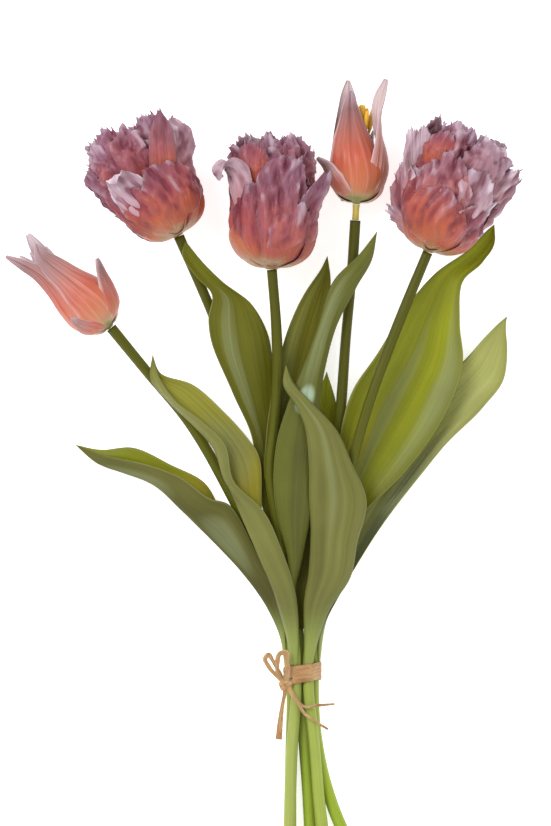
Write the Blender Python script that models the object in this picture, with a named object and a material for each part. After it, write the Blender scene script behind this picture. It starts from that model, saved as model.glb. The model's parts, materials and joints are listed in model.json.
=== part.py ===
"""A bunch of five cut parrot tulips, tied with raffia and lying on a flat surface.

+Z is up, the stems run along Y with the flower heads at +Y, and the origin is on the surface under the tie.
Places are given in millimetres and turned to metres when a mesh is made.
"""

import math

import bmesh
import bpy
import numpy as np
from mathutils import Matrix, Vector

MM = 0.001
SEAT_GAP = 0.3

# Stems: thicker at the cut end than under the flower
STEM_RADIUS_CUT = 3.9
STEM_RADIUS_TIE = 3.2
STEM_RADIUS_HEAD = 3.1
STEM_SIDES = 8
STEM_RINGS = 14

# Blades
LEAF_THICKNESS = 0.9
LEAF_ROWS = 16
LEAF_COLUMNS = 5
PETAL_THICKNESS = 0.8

COLOURS = {
    "stem": (0.30, 0.38, 0.09),
    "leaf": (0.33, 0.38, 0.12),
    "petal": (0.66, 0.33, 0.34),
    "bud_petal": (0.80, 0.40, 0.28),
    "stamen": (0.85, 0.62, 0.10),
    "neck": (0.72, 0.62, 0.20),
    "raffia": (0.74, 0.50, 0.32),
}

# Centre lines of the stems, cut end first. Three lie side by side through the tie, and two on top of them.
STEMS = {
    "stem_1": [(-7.5, -100, 4.3), (-7, -50, 4.4), (-6.8, 0, 4.6), (-12, 40, 6), (-25, 70, 8.2), (-42, 106, 11),
               (-70, 154, 16), (-93, 181.5, 18), (-115, 208.5, 19.5)],
    "stem_2": [(5.5, -108, 4.3), (3.4, -70, 4.4), (0.8, -35, 4.4), (0, 0, 4.6), (-5, 45, 5.5),
               (-12.5, 85, 7.5), (-22, 125, 12), (-30, 152, 17), (-42, 182, 23), (-54.5, 218, 29.5), (-60, 231, 32), (-74, 263, 35.1)],
    "stem_3": [(-8, -112, 12.2), (-6.2, -45, 11.7), (-3.6, -8, 10.7), (-3.8, 8, 10.8), (-9, 50, 13.5), (-16, 96, 19.5),
               (-19.5, 120, 22.5), (-17, 150, 25), (-15, 180, 28.5), (-15.6, 206, 31.4), (-18.4, 243, 34)],
    "stem_4": [(27, -101, 4.3), (19, -82, 4.3), (13, -63, 4.3), (8.4, -38, 4.4), (6.9, 0, 4.6), (10, 50, 5.5),
               (16, 100, 8), (22.5, 153, 12), (26, 201, 16), (30.3, 249, 20), (31.8, 273, 21.5)],
    "stem_5": [(13.5, -106, 10.0), (10.4, -80, 10.4), (6.8, -38, 11.8), (3.6, -8, 10.7), (3.6, 8, 10.7),
               (8, 35, 13), (16, 75, 16.5), (29.7, 128, 23), (40.5, 165, 28), (51.3, 195, 30.4), (64, 227, 32.6), (75, 253.5, 34.6)],
}

# Leaves: the stem each one clasps, where along Y, the way it faces there (degrees from +X towards +Z), and three
# ribs from the sheath to the tip: a margin, the keel and the other margin. Crease is 2 for a round channel.
LEAVES = {
    # Broad leaf left of the middle, inner face up, passing over stem 2 and under stem 3
    "leaf_1": dict(
        clasp=("stem_3", 74, -110, 55), crease=2.0, waves=(1.0, 2.2, 0.5),
        left=[(-27, 113, 17.5), (-31, 146, 23), (-42, 170, 29), (-55, 200, 35.5), (-56.5, 213, 38),
              (-54, 228, 40), (-64, 240, 43), (-72, 252, 44)],
        keel=[(-20, 110, 15.2), (-24, 144, 18.6), (-31, 168, 22.5), (-38, 194, 27.5), (-40, 208, 30.5),
              (-43, 226, 34), (-57, 238, 39.5), (-67, 251, 42)],
        right=[(-14, 108, 15.6), (-18, 142, 16.8), (-20, 166, 17.8), (-20.5, 188, 21), (-23, 204, 23.5),
               (-32, 224, 29), (-49, 237, 38), (-62, 250, 42)],
        tip=(-70, 260, 44),
    ),
    # Folded leaf on the left, in front of stem 1
    "leaf_2": dict(
        clasp=("stem_3", 21, 120, 65), crease=1.6, waves=(0.8, 2.0, 2.0),
        left=[(-3.5, 45, 18.5), (-12, 74, 25), (-24, 99, 29), (-42, 116, 30), (-47, 138, 31), (-60, 152, 31),
              (-76, 165, 30), (-86, 179, 28)],
        keel=[(-13, 44, 19), (-27, 74, 22), (-38, 99, 21), (-46, 118, 19.5), (-54, 137, 20), (-66, 151, 21),
              (-80, 165, 22.5), (-91, 178, 23.5)],
        right=[(-16, 46, 14.5), (-24, 77, 16), (-24.5, 103, 20), (-25.5, 128, 23), (-33, 142, 25.5),
               (-47, 158, 25), (-66, 174.5, 24), (-85, 181, 24.5)],
        tip=(-90, 192, 25),
    ),
    # Long drooping leaf at the far left, folded round stem 1
    "leaf_3": dict(
        clasp=("stem_1", 21, 180, 65), crease=1.6, waves=(1.0, 2.4, 1.0),
        left=[(-12, 45, 10.9), (-27, 72, 13.8), (-42, 100, 17), (-57, 106, 20), (-74, 119, 17), (-96, 127, 13),
              (-117, 131, 8.5)],
        keel=[(-20, 38, 6), (-37, 62, 9), (-55, 81, 11), (-74, 99.5, 11), (-90, 114, 9), (-109, 121.5, 7),
              (-122, 126, 5.5)],
        right=[(-13, 42, 1.6), (-30, 68, 3.8), (-48, 97, 6.3), (-60, 116, 9.5), (-78, 125.5, 9.5),
               (-103, 136.5, 8.5), (-120, 135, 6.5)],
        tip=(-137, 138, 4.5),
    ),
    # Frontmost leaf, seen from outside, its tip folded over
    "leaf_4": dict(
        clasp=("stem_5", 21, 90, 70), crease=2.2, waves=(1.0, 2.0, 0.0),
        left=[(17, 40, 16.5), (29, 58, 18.5), (33, 80, 22), (38, 104, 27), (30, 126, 31), (20, 149, 35),
              (6, 163.5, 38), (-6, 176, 39)],
        keel=[(9, 42, 21), (16, 61, 25), (18, 83, 29), (20, 105, 33), (17, 127, 37), (11, 149, 39.5),
              (1, 163, 41), (-9, 176, 41)],
        right=[(1, 43, 17.5), (4, 62, 20), (4.5, 84, 24), (3.5, 106, 30), (4, 128, 34), (2, 149, 37),
               (-4, 162, 39), (-12, 175, 40)],
        tip=(-10, 186, 36),
    ),
    # Long leaf in the middle, crossing stems 3 and 4
    "leaf_5": dict(
        clasp=("stem_3", 48, 85, 62), crease=2.0, waves=(0.8, 2.2, 1.5),
        left=[(-1, 66, 19), (4, 92, 24.5), (8, 118, 27), (10, 142, 30), (11, 163, 31), (14, 183, 30.5),
              (20, 209, 28), (32, 233, 26), (42, 250, 25)],
        keel=[(-5, 66, 22), (-6, 93, 28), (-5, 118, 31.3), (-3, 142, 34), (1, 162, 35), (6, 182, 35),
              (13, 207, 33), (25, 235, 31), (38, 251, 29)],
        right=[(-9, 67, 20), (-15, 94, 25.5), (-17.5, 118, 29.5), (-15, 142, 32), (-9, 161, 34), (-1, 181, 33.5),
               (8, 206, 32), (19, 237, 30), (34, 252, 28)],
        tip=(44.7, 266, 27),
    ),
    # Dark leaf behind stem 3
    "leaf_6": dict(
        clasp=("stem_3", 118, -90, 46), crease=2.0, waves=(0.6, 2.0, 0.7),
        left=[(-22, 140, 20.5), (-19.5, 162, 22.5), (-15, 186, 24), (-8, 210, 25), (2, 230, 25), (11, 243, 25)],
        keel=[(-13, 140, 18), (-8, 161, 18), (-2, 184, 18.5), (4, 206, 20), (10, 227, 21), (14, 240, 22)],
        right=[(-6, 138, 19.5), (3, 160, 18.5), (8, 182, 18.5), (12, 203, 19), (16, 224, 20), (17, 238, 22)],
        tip=(15, 251.4, 24),
    ),
    # Small leaf behind stem 4
    "leaf_7": dict(
        clasp=("stem_4", 103, -90, 60), crease=2.0, waves=(0.5, 1.5, 0.2),
        left=[(8, 128, 7.5), (7, 152, 10), (10, 170, 12)],
        keel=[(15, 127, 4.2), (14, 150, 6), (15, 167, 9)],
        right=[(22, 126, 5.5), (22, 148, 7), (20, 164, 9.5)],
        tip=(14.7, 182, 12),
    ),
    # Large leaf on the right, behind stem 5
    "leaf_8": dict(
        clasp=("stem_5", 78, -80, 60), crease=2.0, waves=(1.2, 2.2, 2.4),
        left=[(19, 104, 15.5), (22, 140, 17), (30, 171, 18), (46, 194, 20), (64, 222, 21), (81, 242, 19),
              (100, 256, 15), (112, 268, 13)],
        keel=[(27, 101, 12), (41, 131, 12), (57, 163, 12), (71, 190, 13), (80, 217, 15), (89, 239, 15),
              (105, 253, 11.5), (114, 265, 12)],
        right=[(36, 96, 13.5), (61, 121, 14.5), (85, 155, 14.5), (96.5, 186, 14.5), (95, 212, 16), (96.5, 236, 15.5),
               (109, 249, 13.5), (116, 262, 13.5)],
        tip=(115.5, 270.6, 13),
    ),
    # Long leaf at the far right, under the large one
    "leaf_9": dict(
        clasp=("stem_4", 22, -5, 62), crease=1.8, waves=(1.0, 2.4, 0.9),
        left=[(15, 53, 4.5), (22, 84, 4), (36, 119, 4.5), (58, 148, 5), (83, 176, 6), (99, 190, 7), (110, 203, 8),
              (119, 212, 9)],
        keel=[(19, 50, 2.5), (31, 78, 2), (50, 111, 2), (72, 141, 2), (97, 167, 2.5), (112, 183, 4), (118, 198, 6),
              (121, 210, 8)],
        right=[(24, 50, 7), (40, 77, 7.5), (62, 108, 8), (85, 137, 8), (110, 161, 9), (121.5, 178, 11),
               (123, 196, 11), (122.5, 209, 10)],
        tip=(123.3, 215.4, 9),
    ),
}

# Lengthwise shapes of petals, as shares of the flower's radius and height, from the root to the margin
PROFILES = {
    "cup": [(0.08, 0.0), (0.42, 0.02), (0.78, 0.14), (0.95, 0.33), (0.97, 0.55), (0.86, 0.75), (0.72, 0.92)],
    "open": [(0.08, 0.0), (0.42, 0.02), (0.78, 0.14), (0.93, 0.33), (0.97, 0.55), (1.02, 0.70), (1.16, 0.82)],
    "tall": [(0.08, 0.0), (0.38, 0.02), (0.68, 0.14), (0.80, 0.33), (0.82, 0.55), (0.86, 0.75), (0.98, 0.94)],
    "mid": [(0.06, 0.01), (0.34, 0.04), (0.64, 0.18), (0.80, 0.40), (0.82, 0.62), (0.74, 0.84), (0.66, 1.0)],
    "inner": [(0.05, 0.02), (0.26, 0.08), (0.46, 0.25), (0.54, 0.50), (0.48, 0.75), (0.40, 0.95)],
    "bud": [(0.10, 0.0), (0.50, 0.02), (0.88, 0.13), (1.0, 0.30), (0.85, 0.50), (0.62, 0.68), (0.54, 0.85),
            (0.62, 1.0)],
    "flare": [(0.10, 0.0), (0.50, 0.02), (0.88, 0.13), (1.0, 0.30), (0.86, 0.48), (0.70, 0.64), (0.72, 0.82),
              (0.92, 1.0)],
    "spike": [(0.10, 0.0), (0.50, 0.03), (0.90, 0.14), (1.02, 0.27), (1.12, 0.38), (1.32, 0.49)],
}

# Each bloom: its stem, the way it points, radius and height, then its petals. A petal has the side that it faces
# (degrees, 0 is right and 90 is up), its profile, its scales in radius and height, and its half width.
BLOOMS = {
    "bloom_2": dict(
        stem="stem_2", axis=(-0.50, 0.86, 0.0), radius=34, height=72, seed=3,
        petals=[(15, "cup", 1.04, 0.80, 21), (92, "cup", 1.00, 1.00, 22), (165, "open", 0.86, 1.00, 21),
                (238, "open", 0.88, 0.92, 20), (308, "cup", 1.00, 1.00, 21), (35, "tall", 1.00, 0.98, 19),
                (140, "mid", 1.04, 1.06, 20), (225, "mid", 1.02, 1.00, 19), (320, "mid", 1.0, 1.0, 19),
                (90, "inner", 1.0, 1.10, 17), (270, "inner", 1.0, 1.04, 17)],
    ),
    "bloom_3": dict(
        stem="stem_3", axis=(0.0, 1.0, 0.0), radius=29.5, height=80, seed=8,
        petals=[(10, "open", 1.02, 0.94, 19), (85, "cup", 1.02, 0.86, 21), (168, "open", 1.02, 0.96, 20),
                (238, "cup", 1.00, 1.00, 19), (308, "cup", 1.00, 1.00, 19), (45, "mid", 1.02, 1.00, 18),
                (132, "mid", 1.04, 1.04, 18), (222, "mid", 1.00, 1.00, 17), (315, "mid", 1.0, 1.0, 17),
                (90, "inner", 1.0, 1.10, 15), (270, "inner", 1.0, 1.04, 15)],
    ),
    "bloom_5": dict(
        stem="stem_5", axis=(0.32, 0.95, 0.0), radius=34, height=76, seed=12,
        petals=[(8, "open", 1.02, 0.94, 22), (80, "cup", 1.00, 0.92, 23), (172, "tall", 0.96, 0.92, 22),
                (238, "cup", 1.00, 1.00, 22), (308, "cup", 1.00, 1.00, 22), (40, "mid", 1.04, 1.02, 21),
                (128, "mid", 1.02, 1.06, 21), (220, "mid", 1.02, 1.02, 20), (315, "mid", 1.02, 1.0, 20),
                (90, "inner", 1.0, 1.12, 18), (270, "inner", 1.0, 1.04, 18)],
    ),
}
BLOOM_RUFFLE = 2.0
BLOOM_FRINGE = 4.0

# Lily-shaped buds: smooth pointed petals round a waist, the inner ones set between the outer ones
BUDS = {
    "bud_1": dict(
        stem="stem_1", axis=(-0.72, 0.69, 0.0), radius=17.5, height=70, lift=0.0, seed=5,
        petals=[(165, "flare", 1.0, 1.05, 20), (265, "bud", 1.0, 1.0, 20), (12, "spike", 1.0, 1.0, 18),
                (90, "flare", 0.94, 0.98, 18), (215, "bud", 0.90, 1.02, 17), (325, "bud", 0.88, 0.92, 17)],
    ),
    "bud_4": dict(
        stem="stem_4", axis=(0.06, 1.0, 0.0), radius=18.5, height=73, lift=9.6, seed=6,
        petals=[(100, "bud", 1.0, 0.98, 21), (225, "bud", 1.0, 1.0, 20), (350, "flare", 1.0, 1.01, 20),
                (165, "spike", 0.98, 0.86, 15), (285, "bud", 0.90, 0.98, 17), (140, "bud", 0.90, 0.98, 16)],
    ),
}

# The centre of a bud: heights of its foot and of the anthers, and the ring of stamens that leans outwards
STAMENS = 6
CENTRE_FOOT = 15.0
CENTRE_HEAD = 56.0
STAMEN_RING = 2.9
STAMEN_LEAN = 3.4
STAMEN_RADII = [0.7, 0.6, 1.3, 1.2, 0.6]
PISTIL_RADII = [1.5, 1.4, 1.4, 2.3, 1.6]


def through(points, count):
    """Rows spread evenly along the smooth curve that passes through the given rows.

    The first three columns are a place, and the others vary along with it.
    """
    points = np.asarray(points, float)
    steps = np.linalg.norm(np.diff(points[:, :3], axis=0), axis=1)
    knots = np.concatenate([[0], np.cumsum(steps)])
    slopes = np.gradient(points, knots, axis=0)
    where = np.linspace(0, knots[-1], count)
    i = np.clip(np.searchsorted(knots, where, side="right") - 1, 0, len(steps) - 1)
    span = steps[i][:, None]
    f = (where - knots[i])[:, None] / span
    ahead = f * f * (3 - 2 * f)
    return (
        (1 - ahead) * points[i]
        + ahead * points[i + 1]
        + f * (1 - f) ** 2 * span * slopes[i]
        - f * f * (1 - f) * span * slopes[i + 1]
    )


def unit(vectors):
    return vectors / np.linalg.norm(vectors, axis=-1, keepdims=True)


def material(name):
    found = bpy.data.materials.get(name)
    if found:
        return found
    made = bpy.data.materials.new(name)
    made.use_nodes = True
    shader = made.node_tree.nodes["Principled BSDF"]
    shader.inputs["Base Color"].default_value = (*COLOURS[name], 1)
    shader.inputs["Roughness"].default_value = 0.5
    shader.inputs["Metallic"].default_value = 0.0
    return made


def solid(name, points, faces, finish):
    """One closed mesh object from places in millimetres."""
    mesh = bpy.data.meshes.new(name)
    mesh.from_pydata([tuple(p) for p in np.asarray(points) * MM], [], [tuple(map(int, f)) for f in faces])
    mesh.shade_smooth()
    mesh.set_sharp_from_angle(angle=math.radians(50))
    mesh.materials.append(material(finish))
    made = bpy.data.objects.new(name, mesh)
    bpy.context.scene.collection.objects.link(made)
    return made


def carried_frames(line):
    """Tangent and two side directions along a line of points, turning as little as possible."""
    tangents = unit(np.gradient(line, axis=0))
    side = np.cross(tangents[0], (0, 0, 1.0))
    sides = []
    for tangent in tangents:
        side = side - tangent * (side @ tangent)
        side = side / np.linalg.norm(side)
        sides.append(side)
    sides = np.array(sides)
    return tangents, sides, np.cross(sides, tangents)


def rings_mesh(rings):
    """Points and faces that join closed rings in order, with both ends capped."""
    count, sides = rings.shape[:2]
    faces = []
    for r in range(count - 1):
        for c in range(sides):
            d = (c + 1) % sides
            faces.append((r * sides + c, r * sides + d, (r + 1) * sides + d, (r + 1) * sides + c))
    faces.append(tuple(range(sides))[::-1])
    last = (count - 1) * sides
    faces.append(tuple(range(last, last + sides)))
    return rings.reshape(-1, 3), faces


def tube_mesh(line, radii, sides):
    tangents, right, up = carried_frames(line)
    angles = np.arange(sides) * 2 * math.pi / sides
    spokes = (
        np.cos(angles)[None, :, None] * right[:, None, :] - np.sin(angles)[None, :, None] * up[:, None, :]
    )
    return rings_mesh(line[:, None, :] + spokes * np.asarray(radii)[:, None, None])


def stem_line(name, count):
    return through(STEMS[name], count)


def stem_radii(line):
    """A stem's radius along its line: widest at the cut, even at the tie, slimmer towards the flower."""
    reach = [-110, -20, 60, 250]
    radii = [STEM_RADIUS_CUT, STEM_RADIUS_TIE, STEM_RADIUS_TIE, STEM_RADIUS_HEAD]
    return np.interp(line[:, 1], reach, radii)


def sheet_mesh(grid, thickness):
    """A closed blade from a grid of points on its middle surface. Both faces are split into triangles alike."""
    across = np.gradient(grid, axis=1)
    along = np.gradient(grid, axis=0)
    normals = unit(np.cross(across, along))
    rows, columns = grid.shape[:2]
    half = normals * (thickness / 2)
    points = np.concatenate([(grid + half).reshape(-1, 3), (grid - half).reshape(-1, 3)])
    below = rows * columns
    faces = []
    for r in range(rows - 1):
        for c in range(columns - 1):
            a, b = r * columns + c, r * columns + c + 1
            d, e = a + columns, b + columns
            faces += [(a, b, e), (a, e, d), (below + a, below + e, below + b), (below + a, below + d, below + e)]
    rim = (
        [(0, c) for c in range(columns)]
        + [(r, columns - 1) for r in range(1, rows)]
        + [(rows - 1, c) for c in range(columns - 2, -1, -1)]
        + [(r, 0) for r in range(rows - 2, 0, -1)]
    )
    edge = [r * columns + c for r, c in rim]
    for a, b in zip(edge, edge[1:] + edge[:1]):
        faces += [(b, a, below + a), (b, below + a, below + b)]
    return points, faces


def sheath_row(clasp):
    """The three rib places where a leaf clasps its stem: a margin, the keel and the other margin."""
    stem, y, facing, half_angle = clasp
    line = stem_line(stem, 200)
    i = int(np.argmin(np.abs(line[:, 1] - y)))
    along = unit(line[i + 1] - line[i - 1])
    out = np.array((math.cos(math.radians(facing)), 0, math.sin(math.radians(facing))))
    out = unit(out - along * (out @ along))
    side = np.cross(out, along)
    reach = STEM_RADIUS_TIE + SEAT_GAP + LEAF_THICKNESS / 2 + 0.4
    half = math.radians(half_angle)
    middle = line[i] + out * reach * math.cos(half)
    return middle - side * reach * math.sin(half), line[i] + out * reach, middle + side * reach * math.sin(half)


def leaf_grid(form, rows, columns):
    """The middle surface of a leaf, from its sheath to its tip."""
    first, keel, last = sheath_row(form["clasp"])
    tip = np.array(form["tip"], float)
    ribs = np.stack(
        [
            np.vstack([keel, form["keel"], tip]),
            np.vstack([first, form["left"], tip]),
            np.vstack([last, form["right"], tip]),
        ],
        axis=1,
    )
    keel, first, last = through(ribs.reshape(len(ribs), 9), rows).reshape(rows, 3, 3).transpose(1, 0, 2)
    # The last row keeps a little width, so the tip is blunt
    first[-1], last[-1] = tip + (first[-2] - keel[-2]) * 0.08, tip + (last[-2] - keel[-2]) * 0.08
    v = np.linspace(-1, 1, columns)[None, :, None]
    u = np.linspace(0, 1, rows)[:, None]
    keel, first, last = keel[:, None, :], first[:, None, :], last[:, None, :]
    grid = keel + v * (last - first) / 2 + np.abs(v) ** form["crease"] * ((first + last) / 2 - keel)
    normals = unit(np.cross(np.gradient(grid, axis=1), np.gradient(grid, axis=0)))
    height, waves, phase = form["waves"]
    flat = v[..., 0]
    ripple = np.sin(2 * math.pi * waves * u + phase + 1.7 * np.sign(flat))
    free = np.clip((u - 0.25) / 0.3, 0, 1) * np.clip((1 - u) / 0.15, 0, 1)
    return grid + normals * (height * ripple * np.abs(flat) ** 3 * free)[..., None]


def profile_curve(name, radius, height):
    """Distance along a petal, then its radius and height there, with a straight run on past the margin."""
    shape = np.array([(r * radius, 0, z * height) for r, z in PROFILES[name]])
    line = through(shape, 80)
    end = line[-1] + unit(line[-1] - line[-2]) * height * 0.4
    line = np.vstack([line, end])
    along = np.concatenate([[0], np.cumsum(np.linalg.norm(np.diff(line, axis=0), axis=1))])
    return along, line[:, 0], line[:, 2]


def petal_places(form, petal, ell, reach, rise):
    """Places in the flower's own frame from sideways places and distances along the petal."""
    facing, kind, wide, tall, _ = petal
    along, radii, heights = profile_curve(kind, form["radius"] * wide, form["height"] * tall)
    r = np.interp(reach, along, radii)
    z = np.interp(reach, along, heights)
    step = 0.5
    dr = np.interp(reach + step, along, radii) - r
    dz = np.interp(reach + step, along, heights) - z
    size = np.hypot(dr, dz)
    bend = np.maximum(r * 1.08, 7.0)
    turn = ell / bend
    out = r - bend * (1 - np.cos(turn)) + rise * dz / size
    z = z - rise * dr / size
    side = bend * np.sin(turn)
    angle = math.radians(180 - facing)
    return np.stack([out * math.cos(angle) - side * math.sin(angle),
                     out * math.sin(angle) + side * math.cos(angle), z], axis=-1)


def parrot_petal(form, petal, rows, columns, draw):
    """The middle surface of a ruffled petal that widens to a fringed margin."""
    facing, kind, wide, tall, half_width = petal
    along, _, _ = profile_curve(kind, form["radius"] * wide, form["height"] * tall)
    length = along[-2]
    t = np.linspace(-1, 1, columns)[None, :]
    s = np.linspace(0, 1, rows)[:, None]
    tooth = np.where(np.arange(columns) % 2 == 0, 1.0, 0.2) * draw.uniform(0.4, 1.0, columns)
    top = 1 - 0.26 * np.abs(t) ** 2.4
    reach = s * length * top + s**5 * BLOOM_FRINGE * tooth[None, :]
    share = reach / length
    half = half_width * (0.26 + 0.74 * np.sin(np.minimum(share / 0.6, 1) * math.pi / 2))
    ell = t * half
    phase = draw.uniform(0, 2 * math.pi, 2)
    wave = np.sin(2 * math.pi * ell / 15.0 + phase[0] + 0.9 * share) + 0.5 * np.sin(
        2 * math.pi * ell / 24.0 + phase[1] - 1.5 * share
    )
    rise = BLOOM_RUFFLE * wave * share**1.4 * (0.45 + 0.55 * np.abs(t))
    return petal_places(form, petal, ell, reach, rise)


def lily_petal(form, petal, rows, columns, draw):
    """The middle surface of a smooth petal that narrows to a point."""
    facing, kind, wide, tall, half_width = petal
    along, _, _ = profile_curve(kind, form["radius"] * wide, form["height"] * tall)
    length = along[-2]
    t = np.linspace(-1, 1, columns)[None, :]
    s = np.linspace(0, 1, rows)[:, None]
    reach = s * length * np.ones_like(t)
    swell = 0.30 + 0.70 * np.sin(np.minimum(s / 0.36, 1) * math.pi / 2)
    taper = 1 - 0.95 * np.clip((s - 0.36) / 0.64, 0, 1) ** 1.25
    ell = t * half_width * swell * taper
    rise = 0.8 * np.sin(2 * math.pi * ell / 14 + draw.uniform(0, 6)) * s
    return petal_places(form, petal, ell, reach, rise)


def head_frame(stem, axis, lift):
    """A matrix that sets a flower's frame past its stem's end: its height along the axis, its 90 degree side up."""
    end = stem_line(stem, 200)[-1]
    height = Vector(axis).normalized()
    up = Vector((0, 0, 1))
    up = (up - height * up.dot(height)).normalized()
    turn = Matrix((up.cross(height), up, height)).transposed().to_4x4()
    return Matrix.Translation(Vector(end) + height * lift) @ turn


def flower_frame(form):
    """The frame of a bloom or bud, clear of its stem by the seating gap."""
    return head_frame(form["stem"], form["axis"], form.get("lift", 0.0) + SEAT_GAP + PETAL_THICKNESS)


def set_in_frame(points, frame):
    turn = np.array(frame.to_3x3())
    return np.asarray(points) @ turn.T + np.array(frame.translation)


def fuse(name, meshes, finish):
    """One node from several closed meshes: the first one with the others joined to it by one union."""
    core = solid(name, *meshes[0], finish)
    others = bpy.data.collections.new(name + ".repeats")
    bpy.context.scene.collection.children.link(others)
    for i, mesh in enumerate(meshes[1:]):
        piece = solid(f"{name}.{i:02d}", *mesh, finish)
        bpy.context.scene.collection.objects.unlink(piece)
        others.objects.link(piece)
    union = core.modifiers.new("union", "BOOLEAN")
    union.operation = "UNION"
    union.operand_type = "COLLECTION"
    union.collection = others
    union.solver = "MANIFOLD"
    bpy.context.view_layer.update()
    joined = bpy.data.meshes.new_from_object(core.evaluated_get(bpy.context.evaluated_depsgraph_get()))
    core.modifiers.clear()
    core.data = joined
    for piece in list(others.objects):
        bpy.data.objects.remove(piece)
    bpy.data.collections.remove(others)
    keep_largest_body(joined)
    joined.shade_smooth()
    joined.set_sharp_from_angle(angle=math.radians(50))
    return core


def keep_largest_body(mesh):
    """Drops loose scraps and the walls of sealed hollows, which leaves the outer skin of the main body."""
    work = bmesh.new()
    work.from_mesh(mesh)
    bmesh.ops.triangulate(work, faces=work.faces)
    bodies = []
    left = set(work.faces)
    while left:
        start = left.pop()
        body, ahead = [start], [start]
        while ahead:
            face = ahead.pop()
            for edge in face.edges:
                for other in edge.link_faces:
                    if other in left:
                        left.discard(other)
                        body.append(other)
                        ahead.append(other)
        bodies.append(body)
    bodies.sort(key=len)
    for body in bodies[:-1]:
        bmesh.ops.delete(work, geom=body, context="FACES")
    bmesh.ops.delete(work, geom=[v for v in work.verts if not v.link_faces], context="VERTS")
    work.to_mesh(mesh)
    work.free()


def egg_mesh(radius, bottom, top, rings, sides):
    """A blunt egg on the flower's axis, which the petals' roots are sunk into."""
    rows = []
    for i in range(rings):
        f = i / (rings - 1)
        z = bottom + (top - bottom) * f
        r = radius * math.sin(math.pi * (0.12 + 0.80 * f)) ** 0.8
        rows.append([(r * math.cos(a), r * math.sin(a), z) for a in np.arange(sides) * 2 * math.pi / sides])
    return rings_mesh(np.array(rows))


def bloom(name, form):
    draw = np.random.default_rng(form["seed"])
    frame = flower_frame(form)
    core = egg_mesh(form["radius"] * 0.34, 0, form["height"] * 0.72, 6, 10)
    meshes = [(set_in_frame(core[0], frame), core[1])]
    for petal in form["petals"]:
        rows, columns = (4, 5) if petal[1] == "inner" else (5, 7)
        points, faces = sheet_mesh(parrot_petal(form, petal, rows, columns, draw), PETAL_THICKNESS)
        meshes.append((set_in_frame(points, frame), faces))
    fuse(name, meshes, "petal")


def bud(name, form):
    draw = np.random.default_rng(form["seed"])
    frame = flower_frame(form)
    core = egg_mesh(form["radius"] * 0.5, 0, form["height"] * 0.2, 4, 10)
    meshes = [(set_in_frame(core[0], frame), core[1])]
    for petal in form["petals"]:
        points, faces = sheet_mesh(lily_petal(form, petal, 6, 5, draw), PETAL_THICKNESS)
        meshes.append((set_in_frame(points, frame), faces))
    fuse(name, meshes, "bud_petal")


# The tie: three wraps side by side round the five stems, flat where it rests
BAND_CENTRES = [(-7.1, 4.6), (0.0, 4.6), (7.1, 4.6), (3.8, 10.8), (-3.8, 10.8)]
BAND_CLEARANCE = 0.45
BAND_THICKNESS = 0.95
BAND_GROOVE = 0.4
BAND_WIDTH = 10.5
BAND_SLANT = 0.16
BAND_SIDES = 28
WRAPS = 3

# The bow's strands, over the front of the tie: centre line and half width at each place
BOW_STRANDS = {
    "loop_tall": [(-9.8, -6.0, 15.2, 1.6), (-13.8, -2.0, 17.5, 1.2), (-15.2, 5.5, 19.0, 1.4), (-13.2, 12.6, 19.5, 1.5),
                  (-10.4, 13.4, 19.3, 1.5), (-9.2, 6.0, 18.6, 1.4), (-9.2, -1.0, 17.4, 1.2), (-9.6, -6.0, 15.8, 1.6)],
    "loop_side": [(-10.4, -5.6, 15.0, 1.5), (-15.0, -1.6, 14.6, 1.2), (-20.0, 4.0, 14.5, 1.3), (-22.4, 9.6, 14.6, 1.4),
                  (-20.8, 11.6, 14.6, 1.4), (-17.6, 7.6, 14.2, 1.2), (-14.0, 1.0, 14.0, 1.2), (-10.4, -6.6, 14.8, 1.5)],
    "tail_left": [(-10.2, -6.4, 15.2, 1.6), (-10.6, -11.0, 15.4, 1.2), (-12.2, -20.0, 14.2, 1.2),
                  (-13.4, -30.0, 12.6, 1.7), (-14.2, -39.6, 11.0, 2.0)],
    "tail_right": [(-9.8, -6.6, 15.4, 1.6), (-7.0, -10.0, 17.2, 1.1), (-3.6, -15.0, 17.6, 0.9), (0.6, -19.4, 17.4, 0.8),
                   (9.0, -18.8, 17.6, 0.8), (19.4, -18.0, 16.4, 0.7)],
    "tail_low": [(-9.6, -7.2, 15.4, 1.6), (-6.4, -12.0, 18.6, 1.1), (-3.0, -17.0, 18.9, 0.9), (1.6, -24.0, 18.0, 0.9),
                 (7.6, -28.4, 17.6, 0.8), (15.4, -33.2, 15.6, 0.7)],
}
BOW_KNOT = dict(place=(-10.2, -6.6, 15.4), size=(4.0, 3.6, 1.9))
STRAND_THICKNESS = 0.8
BOW_LIFT = -0.3


def band_outline(grow, groove, count):
    """Points round the gathered stems, as seen along them. A groove fades away on the flat underside."""
    angles = (np.arange(count) + 0.5) * 2 * math.pi / count
    ways = np.stack([np.cos(angles), np.sin(angles)], axis=1)
    centres = np.array(BAND_CENTRES)
    nearest = centres[np.argmax(ways @ centres.T, axis=1)]
    cut = np.where(ways[:, 1] < -0.6, 0.0, groove)
    ring = nearest + ways * (STEM_RADIUS_TIE + BAND_CLEARANCE + grow - cut)[:, None]
    floor = BAND_CENTRES[0][1] - STEM_RADIUS_TIE - BAND_CLEARANCE - grow
    ring[ways[:, 1] < -0.95, 1] = floor
    return ring


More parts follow.
